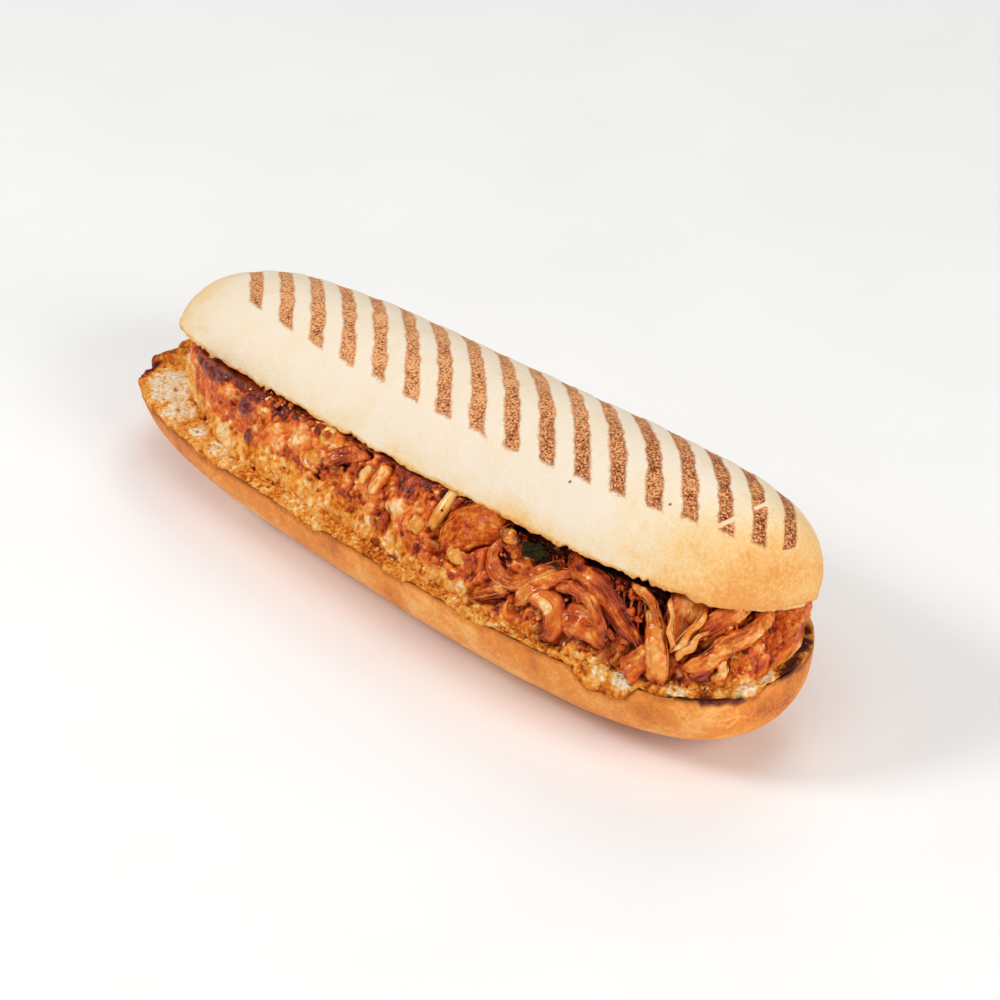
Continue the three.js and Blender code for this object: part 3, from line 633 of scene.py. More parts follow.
crumb_material, tree = new_material("torn_toasted_crumb")
place = add_node(tree, "TexCoord", out="Object")
masks = {name: add_node(tree, "Attribute", out="Fac", attribute_name=name) for name in ("tone", "char")}
fine = add_node(tree, "TexNoise", {"Vector": place, "Scale": 1000.0, "Detail": 4.0, "Roughness": 0.6})
toasted = mottle(tree, masks["tone"], fine, -0.26, 0.16, clamp=True)
colour = add_node(tree, "ValToRGB", {"Fac": toasted}, stops=TOAST_RAMP)
colour = add_node(tree, "Mix", {0: masks["char"], 6: colour, 7: linear("#4A160C")}, data_type="RGBA")
rough = add_node(tree, "Bump", {"Height": fine, "Strength": 0.9, "Distance": 0.001})
finish_material(tree, {"Base Color": colour, "Roughness": 0.8, "Specular IOR Level": 0.2, "Normal": rough,
    "Subsurface Weight": 0.2, "Subsurface Radius": (1.0, 0.55, 0.25), "Subsurface Scale": 0.0015})
torn_margin = piece_from_rings("torn_crumb_margin", band, crumb_material, tone=band_tone,
    char=charring(band))
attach(torn_margin, "root")

# The filling: melted cheese and tomato sauce with minced chicken all through, spooned along
# the base. It bubbled and browned at the left, and on the right it lies under torn shreds.
HEAP_GAP = 0.6                     # between the heap and the bread
EDGE_THICKNESS = 0.9               # of the heap at its foot
SPINE_SHARE = 0.72                 # length of the heap's spine as a share of the base's
SPINE_Y = 2.0
EDGE_SHARE_MOST = 0.93             # the lid's edge stands no further out than this share
WALL_POWER = 0.85                  # how hollow the open face is: 1 would be straight
LID_HALF_WIDTH = 62.7 / 2
LID_TAPER = -0.04
LID_ENDS = (4.2, 3.5)              # powers of the lid's outline at the slim and the full end
OPEN_STEPS, BACK_STEPS = 860, 60   # steps round the open side, and round the hidden back
HEAP_RINGS = 104
HIDDEN_RINGS = 16                  # rings that lie well under the lid
LUMP_SIZE, GRAIN_SIZE = 4.4, 1.6   # minced lumps, and the grains on them


def lid_half_width(c):
    """Half the lid's width at c: a superellipse in plan that tapers a little."""
    return LID_HALF_WIDTH * (1 + LID_TAPER * c) * end_rounding(c, *LID_ENDS)


def outward(x, y):
    """The way the filling faces at a plan point: up, and away from the roll's spine."""
    along = x - np.clip(x, -80, 86)
    length = np.maximum(np.hypot(along, y), 1e-6)
    return unit(join(along / length, y / length, 0.9))


def heap_plan(turn, share):
    """Plan points of the spine and of the foot, and the one a share of the way between them."""
    spine = join(SPINE_SHARE * HALF_LENGTH * np.cos(turn), SPINE_Y)
    foot = heap_foot(turn)
    return spine, foot, spine + (foot - spine) * share[..., None]


def heap_surface(turn, share):
    """The heap's top: it follows the lid's underside, a little sunk, and past the lid's edge
    falls to the foot like a power of what is left of the way. A soft minimum joins the two.
    Also gives the share at which the lid's edge stands."""
    turn, share = np.broadcast_arrays(turn, share)
    c = np.cos(turn)
    spine, foot, plan = heap_plan(turn, share)
    x, y = plan[..., 0], plan[..., 1]
    edge = lid_to_roll(join(c * LID_HALF_LENGTH, np.sign(np.sin(turn)) * lid_half_width(c), LID_SAG * c * c))
    edge_share = np.minimum(EDGE_SHARE_MOST, away_from(edge[..., :2], spine) / away_from(foot, spine))
    foot_top = cut_height(foot[..., 0], foot[..., 1]) + HEAP_GAP + EDGE_THICKNESS
    sink = 0.5 + 3.4 * smoothstep(x, 30, 62) + 1.2 * smoothstep(x, 84, 96) - 3.6 * smoothstep(x, 106, 113)
    roof = lid_underside(x, y) - HEAP_GAP - sink * smoothstep(share, 0.2, 0.5)
    wall = foot_top + (edge[..., 2] - sink - foot_top) * ((1 - share) / (1 - edge_share)) ** WALL_POWER
    soft = 0.8 + 1.2 * smoothstep(-x, 70, 95)
    height = roof - soft * np.log1p(np.exp((roof - wall) / soft))
    lowest = cut_height(x, y) + HEAP_GAP + EDGE_THICKNESS
    return join(x, y, np.maximum(height, lowest)), edge_share


turns = np.concatenate([turns_evenly(heap_foot, -np.pi, 0.0, OPEN_STEPS),
    turns_evenly(heap_foot, 0.0, np.pi, BACK_STEPS)])[None, :]
_, edge_share = heap_surface(turns, 0.5)
hidden = np.linspace(0.0, 1.0, HIDDEN_RINGS, endpoint=False)[:, None]
open_face = np.linspace(0.0, 1.0, HEAP_RINGS - HIDDEN_RINGS)[:, None]
shares = np.concatenate([0.2 + (edge_share - 0.3) * hidden, edge_share - 0.1
    + (1.1 - edge_share) * open_face])
heap, edge_share = heap_surface(turns, shares)
x, y, z = np.moveaxis(heap, -1, 0)
mouth_share = np.clip((1 - shares) / (1 - edge_share), 0, 1.2)   # 0 at the foot, 1 at the lid's edge

# Bubbles of cheese that browned: centre, radius, height and how dark each one is
BLISTERS = [((-58.6, -28.4, 39.5), 4.5, 2.2, 1.0), ((-86.9, -22.0, 40.4), 2.9, 1.6, 1.0),
    ((-55.4, -30.1, 32.4), 2.4, 1.2, 0.9), ((-73.0, -24.0, 42.5), 3.4, 0.9, 0.3),
    ((-80.5, -23.5, 41.0), 3.2, 1.0, 0.4)]
# Places that differ from the common mince and sauce: middle, reach, rise (a hollow below 0),
# tone from dark sauce at 0 to pale cheese at 1, and how smooth the surface is there. The deep
# hollows get tones near 0, which is painted shade.
HEAP_PLACES = [((-80, -23.5, 41.0), 6.5, 0.3, 0.22, 0.4), ((-72.5, -23.8, 42.8), 6.0, 0.2, 0.20, 0.3),
    ((-55.4, -30.1, 32.4), 2.8, 0.2, 0.18, 0.6), ((-65, -23, 43), 5.0, 0.0, 0.26, 0.1),
    ((-57.3, -23, 42.7), 5.0, 0.0, 0.24, 0.0), ((-47, -23, 42.5), 6.0, -0.3, 0.18, 0.0),
    ((-39.5, -24, 42.5), 4.6, -0.3, 0.26, 0.0), ((-68.5, -26.3, 39.9), 3.6, 0.4, 0.76, 0.4),
    ((-87.7, -22.1, 31.1), 4.6, 0.2, 0.47, 0.6), ((-77, -25.5, 35), 5.0, 0.2, 0.48, 0.2),
    ((-86, -23.1, 24.6), 2.2, -0.9, 0.97, 0.3), ((-80.6, -26.4, 23.4), 3.4, 0.3, 0.04, 0.0),
    ((-67.3, -29.7, 28), 4.6, 0.2, 0.90, 0.0), ((-49.2, -30.5, 29.1), 6.0, 0.2, 0.54, 0.0),
    ((-36.2, -31.2, 29.6), 5.5, 0.2, 0.56, 0.0), ((-45.2, -28.5, 35.1), 5.4, 0.3, 0.78, 0.5),
    ((-37.6, -26.8, 39.4), 6.0, 0.3, 0.84, 0.5), ((-30.3, -24.2, 43.0), 4.0, -0.3, 0.26, 0.1),
    ((-26.0, -29.2, 33.6), 1.7, -2.6, 0.02, 0.0), ((-18.8, -24.7, 38.6), 4.0, -1.8, 0.04, 0.3),
    ((-14.3, -27.2, 38.1), 2.0, -1.2, 0.08, 0.2), ((-15.6, -30.7, 32.3), 4.8, 0.3, 0.42, 0.1),
    ((-15.3, -28.6, 36.5), 3.2, 0.4, 0.74, 0.5), ((-4.6, -29.3, 35.4), 4.4, 0.3, 0.68, 0.4),
    ((-3.7, -20.6, 43.5), 5.0, -0.4, 0.36, 0.8), ((3.8, -22.6, 44.5), 7.5, 0.0, 0.24, 0.85),
    ((10.7, -19.1, 44.7), 6.0, 0.0, 0.25, 0.8), ((6.0, -28.3, 37.9), 4.0, 0.5, 0.92, 0.6),
    ((12.0, -26.4, 40.3), 4.2, 0.4, 0.66, 0.5), ((11.1, -31.7, 32.1), 4.8, 0.3, 0.46, 0.0),
    ((1.9, -32.6, 28.1), 3.0, 0.5, 0.20, 0.5), ((22.4, -31.9, 30.8), 5.0, 0.3, 0.52, 0.0),
    ((39.2, -29.4, 38.4), 4.8, 0.3, 0.42, 0.0), ((43.1, -31.9, 32.5), 4.8, 0.8, 0.44, 0.9),
    ((44.9, -32.1, 29.0), 2.4, -2.2, 0.02, 0.2), ((45.8, -24.6, 39.5), 4.6, -2.0, 0.12, 0.0),
    ((53.3, -28.1, 35.4), 4.4, 0.3, 0.50, 0.1), ((62.4, -22.5, 39.6), 4.2, -1.0, 0.14, 0.6),
    ((67.4, -23.7, 37.5), 4.8, -0.8, 0.26, 0.0), ((78.2, -27.2, 32.2), 4.4, 0.0, 0.36, 0.0),
    ((70.5, -30.4, 29.8), 4.0, 0.3, 0.62, 0.0), ((92.4, -23.1, 33.2), 4.0, 0.2, 0.36, 0.0),
    ((106.5, -20.8, 30.8), 4.0, 0.2, 0.34, 0.1), ((110.2, -14.1, 34.3), 3.8, -0.4, 0.12, 0.8),
    ((116.6, 2.2, 34.8), 8.0, 0.5, 0.48, 0.0), ((116.1, -3.0, 35.4), 5.0, 0.3, 0.46, 0.1),
    ((116, 12, 33), 6.0, 0.4, 0.52, 0.0), ((108, 20.6, 31), 7.0, 0.3, 0.50, 0.0)]

def drift(points, size, seed):
    """Three clouds of noise, one for each axis."""
    return np.stack([clouds(points, size, 2, seed + k) for k in range(3)], -1)


warp = drift(heap, 5.0, 40) * 1.3
nearest, _, lump_number = cobbles(heap + warp, LUMP_SIZE, seed=50)
small_nearest, _, grain_number = cobbles(heap + warp * 0.5, GRAIN_SIZE, seed=60)
fray = clouds(heap, 3.2, 3, seed=70)
smooth_here, place_share, place_rise, blister_rise, blister_dark = np.zeros((5, *x.shape))
place_tone = np.full_like(x, 0.5)
for centre, reach, rise, tone_there, smoothness in HEAP_PLACES:
    away = away_from(heap, centre) / reach
    here = smoothstep(1 - away + 0.3 * fray, 0.08, 0.5)
    place_tone += (tone_there - place_tone) * np.maximum(here, 1 - place_share) * (here > 0)
    place_share = np.maximum(place_share, here)
    smooth_here += (smoothness - smooth_here) * here
    place_rise += rise * smoothstep(1 - away, 0.0, 0.8)
rough_here = 1 - smooth_here
lumps = (0.3 - nearest ** 2 + 0.5 * (lump_number - 0.5)) * 1.7 * (0.2 + 0.8 * rough_here)
grains = (0.28 - small_nearest ** 2) * 0.8 * (0.15 + 0.85 * rough_here)
tatter = 0.32 * clouds(heap, 0.9, 2, seed=82) * (0.25 + 0.75 * rough_here)
wrinkles = clouds(heap + warp, 2.2, 2, seed=80)
creases = 1 - smoothstep(np.abs(clouds(heap + warp, 3.6, 2, seed=86)), 0.0, 0.13)
for centre, radius, height, dark in BLISTERS:
    share_out = away_from(heap, centre) / radius * (1 + 0.18 * fray)
    blister_rise = np.maximum(blister_rise,
        height * np.sqrt(np.maximum(0, 1 - np.minimum(share_out, 1) ** 2)))
    blister_dark = np.maximum(blister_dark, dark * (1 - smoothstep(share_out, 0.55, 1.05)))
# the filling's edge along the bread caught the heat too: a crusty line, widest at the left
toast_line = 0.30 - 0.16 * smoothstep(x, -30, 15) - 0.10 * smoothstep(x, 15, 60) + 0.13 * fray
toast_line += 0.32 * smoothstep(-x, 85, 98)
crusty = 1 - smoothstep(mouth_share - toast_line, -0.04, 0.06)
crumbly = clouds(heap, 1.2, 2, seed=88)
bumpy = lumps + grains + (tatter + 0.4 * crusty * crumbly)
bumpy = bumpy + 0.22 * wrinkles * smooth_here - 0.5 * creases * (1 - 0.7 * smooth_here)
heap_relief = 0.9 * unevenness(x, y, z, 11) * smoothstep(shares, 0.55, 0.75) + place_rise
heap_relief += bumpy * (1 - 0.7 * smoothstep(blister_rise, 0, 0.5)) + blister_rise

# The shreds and the stick that lie in the open side, with the heap pressed in round them: the
# route on the face of the filling, widths spread along it, thickness, the tone from dark to
# pale, how strongly the fibres stand out beside 1 for most, and whether the meat is pale
SHREDS = {
    "chicken_rope": ([[63, -19, 47.5], [68, -22.5, 46.5], [75, -23, 46.5], [82, -24, 44], [88, -25, 41],
        [94, -25, 37.5]], [4.5, 6, 6, 5.5, 4], 4.8, 0.29, 1.0, False),
    "chicken_stub": ([[92.5, -19.5, 46], [96.5, -22.5, 41.5], [99.5, -25, 36], [101.5, -26.5, 31.5]],
        [3.5, 5.5, 6.6, 6.2], 4.2, 0.68, 0.25, True),
    "chicken_slab_lower": ([[114, 3, 46], [115.5, -5.5, 44.5], [113, -12.5, 42], [110.5, -17.5, 38.5],
        [107.5, -21.5, 35.5]], [4, 4.6, 5, 5.4, 5], 4.2, 0.54, 1.0, True),
    "chicken_slab_upper": ([[109.5, 1, 49], [110.5, -6, 48.2], [108.5, -11.5, 46], [106, -16, 42.6]],
        [4, 5, 5.2, 4], 3.6, 0.42, 1.0, False),
    "chicken_chunk": ([[24, -31, 36.5], [29, -27.5, 42], [34, -24.5, 45.5], [40, -21, 47.8]],
        [6, 13.5, 13.5, 9], 7, 0.41, 1.0, False),
    "onion_stick": ([[20.5, -20, 48.3], [20, -24.5, 44.8], [19, -29.5, 39]], [3.6, 3.9, 3.4],
        3, 0.68, 0.0, True),
    "chicken_curl": ([[42.5, -25, 45], [42.5, -28.5, 41], [47, -30.5, 38.6], [53.5, -30, 39],
        [58.5, -27, 43.2], [61.5, -24.5, 46.2]], [3, 4.6, 5, 4.6, 3.4], 4.4, 0.48, 0.5, False),
    "chicken_fold": ([[57, -30.5, 38], [61.5, -30.5, 39.6], [66.5, -30, 38.4], [68.5, -32, 33.8],
        [66, -34, 30.3]], [4.5, 6, 7, 6.5, 4], 3.4, 0.52, 0.4, True),
    "chicken_pocket": ([[69.5, -30, 35.5], [74, -29, 38], [79, -28.5, 37.8], [83.5, -28.5, 35.2]],
        [6, 9.5, 9, 6], 3.6, 0.47, 0.5, False),
    "chicken_arch": ([[65, -26.5, 43], [70, -26, 44.3], [76, -26, 43.6], [81, -27.3, 41], [84.5, -28, 37.8]],
        [2.6, 3.2, 3.2, 3.2, 2.4], 2.6, 0.40, 1.0, False),
    "chicken_strip_low": ([[41, -34.2, 31], [46, -33, 34.4], [51.5, -31, 37]], [4, 5.4, 4.2],
        3.4, 0.46, 1.0, False),
    "chicken_strip_mid": ([[55.5, -32.3, 35], [59, -30, 40.6], [63, -26.5, 44], [66.5, -23, 46]],
        [3.6, 4.8, 4.6, 3.6], 3, 0.60, 0.7, True),
    "chicken_splay": ([[96, -25, 38.4], [94.6, -27.6, 34.5], [92, -29.4, 31.3]], [3.4, 6, 8.4],
        2.4, 0.62, 1.0, True),
    "chicken_strand_upright": ([[96.5, -16.4, 49.2], [99.2, -19.3, 46.3], [102, -22.2, 40.3]], [1.8, 2, 1.6],
        1.6, 0.74, 0.4, True),
    "chicken_strand_pale_1": ([[104.8, -12.3, 48.7], [105.4, -16, 46.3], [103.8, -19, 42.6],
        [101.8, -21.6, 38.6]], [2, 2.8, 2.6, 2], 1.8, 0.76, 0.3, True),
    "chicken_strand_pale_2": ([[107.8, -14.5, 45.4], [106.2, -17.8, 42], [103.7, -21.4, 37.6]],
        [1.8, 2.8, 2.2], 1.8, 0.74, 0.3, True),
    "chicken_strand_loop": ([[84, -17.8, 49], [89, -19, 48.8], [93, -19.6, 47.6], [95.6, -20.6, 44.6],
        [97.2, -21.6, 41.4]], [1.8, 2.4, 2.4, 2.2, 1.8], 1.8, 0.54, 1.0, False),
    "chicken_fan": ([[98.6, -10, 48.3], [100.4, -13.4, 46.4], [101.2, -16.6, 42], [101, -20, 37.4]],
        [13, 12, 8.5, 4], 2.2, 0.50, 1.0, False),
    "chicken_hanging": ([[112.5, -13.8, 39.5], [113.3, -14.8, 35.6], [112, -16.8, 32]], [2.8, 3.2, 2.4],
        1.6, 0.74, 0.4, True),
    "chicken_curl_left": ([[-25, -29, 37.2], [-22, -28, 40.2], [-17, -25.5, 43], [-11.5, -24, 44]],
        [2.8, 4.2, 4, 2.6], 2.8, 0.38, 1.0, False),
    "chicken_flake_left": ([[-4.5, -29.4, 38.4], [-4, -26.8, 42], [-3, -24, 44.4]], [2.6, 4, 3],
        2.2, 0.64, 1.0, True),
}
# Middle, size, turn, tip, squareness and tone of the diced onion
ONIONS = {
    "onion_dice_1": ((-28.2, -22.9, 41.2), (7.6, 6.6, 4.8), 0.3, 0.75, 3.0, 0.55),
    "onion_dice_2": ((-29.6, -28.4, 36.0), (7.4, 6.4, 4.6), -0.2, 0.8, 3.0, 0.45),
    "onion_dice_3": ((14.6, -28.6, 36.8), (7.4, 5.2, 4.4), -0.2, 0.8, 2.8, 0.4),
    "onion_dice_4": ((-9.4, -26.3, 40.0), (5.0, 6.4, 4.0), -0.5, 0.8, 3.0, 0.66),
    "onion_shard": ((31.6, -30.6, 36.4), (7.4, 4.0, 3.4), 0.1, 0.9, 2.6, 0.42),
    "onion_sliver": ((43.6, -23.2, 45.6), (7.0, 3.4, 3.0), 0.15, 0.7, 2.4, 0.15),
    "red_onion_piece": ((108.2, -16.6, 33.4), (6.4, 7.4, 4.4), 0.5, 0.5, 2.4, 0.4),
}


def route_points(route, count):
    """Places, spread evenly by length, on the centripetal Catmull-Rom curve through a route:
    each span is a cubic whose end tangents come from the square roots of the distances."""
    knots = np.array(route, float)
    knots = np.concatenate([[2 * knots[0] - knots[1]], knots, [2 * knots[-1] - knots[-2]]])
    t = np.linspace(0, 1, 60, endpoint=False)[:, None]
    spans = []
    for p0, p1, p2, p3 in zip(knots, knots[1:], knots[2:], knots[3:]):
        d0, d1, d2 = (np.sqrt(np.linalg.norm(b - a)) for a, b in ((p0, p1), (p1, p2), (p2, p3)))
        start = ((p1 - p0) / d0 - (p2 - p0) / (d0 + d1) + (p2 - p1) / d1) * d1
        end = ((p2 - p1) / d1 - (p3 - p1) / (d1 + d2) + (p3 - p2) / d2) * d1
        spans.append(p1 + start * t + (3 * (p2 - p1) - 2 * start - end) * t ** 2
            + (2 * (p1 - p2) + start + end) * t ** 3)
    line = np.concatenate([*spans, knots[-2:-1]])
    run = run_along(line)
    even = np.linspace(0, run[-1], count)
    return np.stack([np.interp(even, run, line[:, k]) for k in range(3)], -1), run[-1]


def spread(values, t):
    """Values spread evenly over t from 0 to 1, blended by 3t^2 - 2t^3 between neighbours."""
    values = np.array(values, float)
    slot = np.minimum((t * (len(values) - 1)).astype(int), len(values) - 2)
    share = smoothstep(t * (len(values) - 1) - slot, 0, 1)
    return values[slot] + (values[slot + 1] - values[slot]) * share


def shred_gap(points):
    """Distance from each point to the nearest edge of the strips along the routes of SHREDS."""
    gap = np.full(points.shape[:-1], 99.0)
    for route, widths, *_ in SHREDS.values():
        line, _ = route_points(route, 24)
        for place, width in zip(line, spread(widths, np.linspace(0, 1, 24))):
            gap = np.minimum(gap, away_from(points, place) - width / 2)
    return gap


SUNK_UNDER = 2.4                    # how deep the heap is pressed in under a shred
SHADE_DEPTH = 2.6                   # how far the filling draws back under the lid's edge
piece_gap = shred_gap(heap)
onion_gap = np.min([away_from(heap, centre) - (size[0] + size[1]) / 4.4 for centre, size,
    *_ in ONIONS.values()], axis=0)
under_shreds = smoothstep(x, 40, 62)
beside = 0.2 + 1.5 * under_shreds
dent = beside * smoothstep(-piece_gap, -2.6, -0.6)
dent += (SUNK_UNDER - beside) * smoothstep(-piece_gap, -0.8, 0.3) + 1.4 * smoothstep(-onion_gap, -0.3, 0.8)
dent -= 1.2 * smoothstep(-np.abs(onion_gap - 0.9), -1.5, 0)
dent -= 0.8 * (1 - under_shreds) * smoothstep(-np.abs(piece_gap - 1.3), -1.3, 0)
between = smoothstep(x, 58, 72) * (1 - smoothstep(x, 104, 110)) * smoothstep(shares, 0.5, 0.62)
hollow = between * (1 - smoothstep(shares, 0.84, 0.97)) * 2.6
shade = smoothstep(x, 18, 42) * (1 - smoothstep(x, 103, 110)) * smoothstep(mouth_share, 0.62, 0.95)
heap_push = (heap_relief - dent - hollow - shade * SHADE_DEPTH) * smoothstep(shares, 0.45, 0.6)
heap = heap + outward(x, y) * heap_push[..., None]
foot_dip = smoothstep(1 - mouth_share, 0.55, 1.0) * (1.3 + 2.2 * clouds(heap, 4.5, 3, seed=84))
heap[..., 2] -= np.maximum(foot_dip, 0)
heap[..., 2] = np.maximum(heap[..., 2], cut_height(heap[..., 0], heap[..., 1]) - 1.6)
under_shares = np.array([0.99, 0.5])[:, None]
_, _, under_plan = heap_plan(*np.broadcast_arrays(turns, under_shares))
heap_grid = np.concatenate([heap, on_cut_face(under_plan, -2.0)])

# The tone runs from dark sauce at 0 to pale cheese and onion at 1. Hollows and creases are
# painted darker as shade, and what stands out is painted paler as light.
tone = 0.49 + 0.11 * smoothstep(-x, 0, 30) + 0.30 * (lump_number - 0.5) + 0.26 * (grain_number - 0.5)
tone += 0.24 * clouds(heap, 5.0, 3, seed=90)
left_tone = 0.59 + 0.42 * clouds(heap, 3.6, 3, seed=92) + 0.2 * (grain_number - 0.5)
far_left = smoothstep(-x, 44, 62)
tone += (left_tone - tone) * far_left
crust_tone = 0.61 + 0.26 * clouds(heap, 3.4, 3, seed=94) + 0.22 * crumbly + 0.12 * smoothstep(-x, 84, 98)
tone += (np.clip(crust_tone, 0.2, 0.8) - tone) * crusty
tone += (place_tone + 0.2 * clouds(heap, 2.6, 3, seed=91) - tone) * place_share
veins = 1 - smoothstep(np.abs(wrinkles), 0.0, 0.16)
tone += 0.2 * veins * smooth_here * smoothstep(place_tone, 0.5, 0.7) * place_share
tone += (0.30 - 0.14 * far_left) * clouds(heap, 1.4, 2, seed=97)
tone += 0.14 * grains - 0.15 * creases * (1 - 0.5 * smooth_here)
pale_grain = (grain_number > 0.84) * smoothstep(0.5 - small_nearest, 0.0, 0.12)
tone += 0.26 * pale_grain * rough_here
tone -= crusty * np.clip(tone - 0.80, 0, 1)
# Painted shade: the filling is darker just under the lid's edge, more so along the right half, and in the
# hollow between the shreds
near_lid = smoothstep(mouth_share + 0.10 * clouds(heap, 4.0, 3, seed=93), 0.84, 1.0)
tone -= near_lid * np.clip(tone - 0.16, 0, 0.25)
tone -= 0.34 * np.maximum(shade, between * (1 - smoothstep(shares, 0.84, 0.95)))
browned = np.clip(blister_dark, 0, 1) * (1 - 0.7 * crusty)


def with_underside(values):
    """Carries the numbers at the heap's foot on to its hidden underside."""
    return np.concatenate([values, np.repeat(values[-1:], len(under_shares), axis=0)])


# Cooked food under sauce: wet, a little see-through and glossy. The ramp runs from dark
# tomato sauce through stained chicken to pale melted cheese, and browned cheese is purplish.
# Its dark end also carries the painted shade in the hollows and under the lid.
# The dry toasted edge takes the colours of the torn crumb.
FOOD_RAMP = [(0.0, "#300B03"), (0.14, "#701E06"), (0.29, "#AC3A0A"), (0.44, "#D3570F"), (0.58, "#E9761C"),
    (0.72, "#F09036"), (0.86, "#F4AE62"), (1.0, "#F9D29C")]
filling_material, tree = new_material("melted_cheese_and_sauce")
place = add_node(tree, "TexCoord", out="Object")
masks = {name: add_node(tree, "Attribute", out="Fac", attribute_name=name)
    for name in ("tone", "crusty", "browned")}
fine = add_node(tree, "TexNoise", {"Vector": place, "Scale": 800.0, "Detail": 3.0, "Roughness": 0.55})
mottled = mottle(tree, masks["tone"], fine, -0.13, 0.13, clamp=True)
colour = add_node(tree, "ValToRGB", {"Fac": mottled}, stops=FOOD_RAMP)
toast = add_node(tree, "ValToRGB", {"Fac": mottled}, stops=TOAST_RAMP)
brown = add_node(tree, "ValToRGB", {"Fac": fine},
    stops=[(0.3, "#4E1614"), (0.5, "#7A2E2B"), (0.7, "#A65650")])
for share, other in ((masks["crusty"], toast), (masks["browned"], brown)):
    colour = add_node(tree, "Mix", {0: share, 6: colour, 7: other}, data_type="RGBA")
dryness = add_node(tree, "MapRange", {"Value": masks["crusty"], "To Min": 0.42, "To Max": 0.8})
wetness = add_node(tree, "MapRange", {"Value": masks["crusty"], "To Min": 0.34, "To Max": 0.0})
ripple = add_node(tree, "Bump", {"Height": fine, "Strength": 0.7, "Distance": 0.0008})
finish_material(tree, {"Base Color": colour, "Roughness": dryness, "Specular IOR Level": 0.2,
    "Coat Weight": wetness, "Coat Roughness": 0.08, "Normal": ripple, "Subsurface Weight": 0.2,
    "Subsurface Radius": (1.0, 0.4, 0.15), "Subsurface Scale": 0.0012})

filling = piece_from_rings("cheese_and_sauce_heap", heap_grid, filling_material,
    tone=with_underside(np.clip(tone, 0, 1)), crusty=with_underside(crusty),
    browned=with_underside(browned))
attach(filling, "root")
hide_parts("filling")

# Pulled chicken: each shred is a bundle of muscle fibres torn along its length, stained and
# wet with sauce.
# spots painted paler on the shreds, mostly as highlights, and a few painted darker: middle, reach and change
# of tone
SHRED_HIGHLIGHTS_AND_DARK_SPOTS = [((47.4, -30.1, 39.1), 3.0, 0.22), ((65.8, -30.6, 38.0), 3.4, 0.34),
    ((68.5, -32.5, 33.0), 3.0, -0.18), ((80.5, -29.2, 35.8), 3.2, 0.30),
    ((74.5, -29.2, 37.4), 3.0, -0.16), ((98.4, -24.6, 37.3), 3.0, 0.12),
    ((101.0, -26.5, 32.0), 2.4, -0.16), ((72.0, -23.0, 46.5), 3.4, 0.16),
    ((112.5, -14.0, 41.5), 3.4, 0.14)]
SHRED_STEPS, SHRED_SIDES = 130, 72
SHRED_POWER = 2.4                   # of the rounded oblong that each shred is across
BUNDLE_WIDTH, BUNDLE_DEPTH = 1.7, 0.34
FIBRE_WIDTH, FIBRE_DEPTH = 0.6, 0.15
END_FRAY = 1.5                      # how unevenly the fibres end, in millimetres
STRAND = 2.0                        # anything thinner is a strand, slimmer and swaying


def shred_place(route, thickness, t):
    """Centre, tangent, side and normal at any places t along a shred. The centre lies half the
    thickness below the face of the filling, the side is level with that face, and beyond the
    ends the centre runs straight on."""
    line, length = route_points(route, 400)
    centre = line - outward(line[:, 0], line[:, 1]) * thickness / 2
    tangent = unit(np.gradient(centre, axis=0))
    side = unit(np.cross(tangent, outward(centre[:, 0], centre[:, 1])))
    stations = np.linspace(0, 1, 400)
    centre, tangent, side, normal = (np.stack([np.interp(t, stations, field[:, k]) for k in range(3)], -1)
        for field in (centre, tangent, side, np.cross(side, tangent)))
    beyond = (t - np.clip(t, 0, 1)) * length
    return centre + tangent * beyond[..., None], side, normal, length


def shred_grid(route, widths, thickness, blunt, seed):
    """A strip: a rounded oblong across, |a|^p + |b|^p = 1, carried along the route, whose size
    at t is the width there times (1 - |2t - 1|^b)^(1/b). Its fibres end unevenly. Also gives
    each point's place in the straightened strip, along, across and deep."""
    t = ((1 - np.cos(np.pi * (np.arange(SHRED_STEPS) + 0.7) / (SHRED_STEPS + 0.4))) / 2)[:, None]
    from_middle = np.abs(2 * t - 1)
    angle = 2 * np.pi * np.arange(SHRED_SIDES) / SHRED_SIDES
    circle = join(3.2 * np.cos(angle), 3.2 * np.sin(angle), 9.1 * seed)
    _, length = route_points(route, 3)
    fray = min(END_FRAY / length, 0.08) * clouds(circle, 1.1, 3, 700 + seed)
    frayed = t + fray * signed_power(2 * t - 1, 7)
    centre, side, normal, length = shred_place(route, thickness, frayed)
    rounding = (1 - from_middle ** blunt) ** (1 / blunt)
    half_width = spread(widths, t[:, 0])[:, None] / 2 * rounding * (1 - 0.25 * (thickness < STRAND))
    half_depth = thickness / 2 * rounding * (1 - 0.35 * smoothstep(from_middle, 0.7, 1.0))
    if thickness < STRAND:
        centre = centre + side * 0.4 * np.sin(11 * frayed + 2 * seed)[..., None]
    strip = join(t * length, half_width * signed_power(np.cos(angle), 2 / SHRED_POWER),
        half_depth * signed_power(np.sin(angle), 2 / SHRED_POWER))
    wander = 1 + 0.16 * cloud(strip * [0.22, 0.0, 0.0] + [0, 7.7 * seed, 0], 1.0, seed)
    across, deep = strip[..., 1] * wander, strip[..., 2] * wander
    return centre + side * across[..., None] + normal * deep[..., None], strip


def fibre_relief(strip, seed):
    """Relief of a bundle of fibres, as coarse bundles and fine fibres, each from -1 to 1:
    ridges of noise that is stretched five times along the shred and drifts sideways."""
    sideways = join(0.0, clouds(strip, 7.0, 2, seed), clouds(strip, 7.0, 2, seed + 1))
    stretched = (strip + sideways * 1.6) * [0.2, 1.0, 1.0]
    return (1 - 2.4 * np.abs(cloud(stretched, BUNDLE_WIDTH, seed + 2)), 1
        - 2.4 * np.abs(cloud(stretched, FIBRE_WIDTH, seed + 3)))


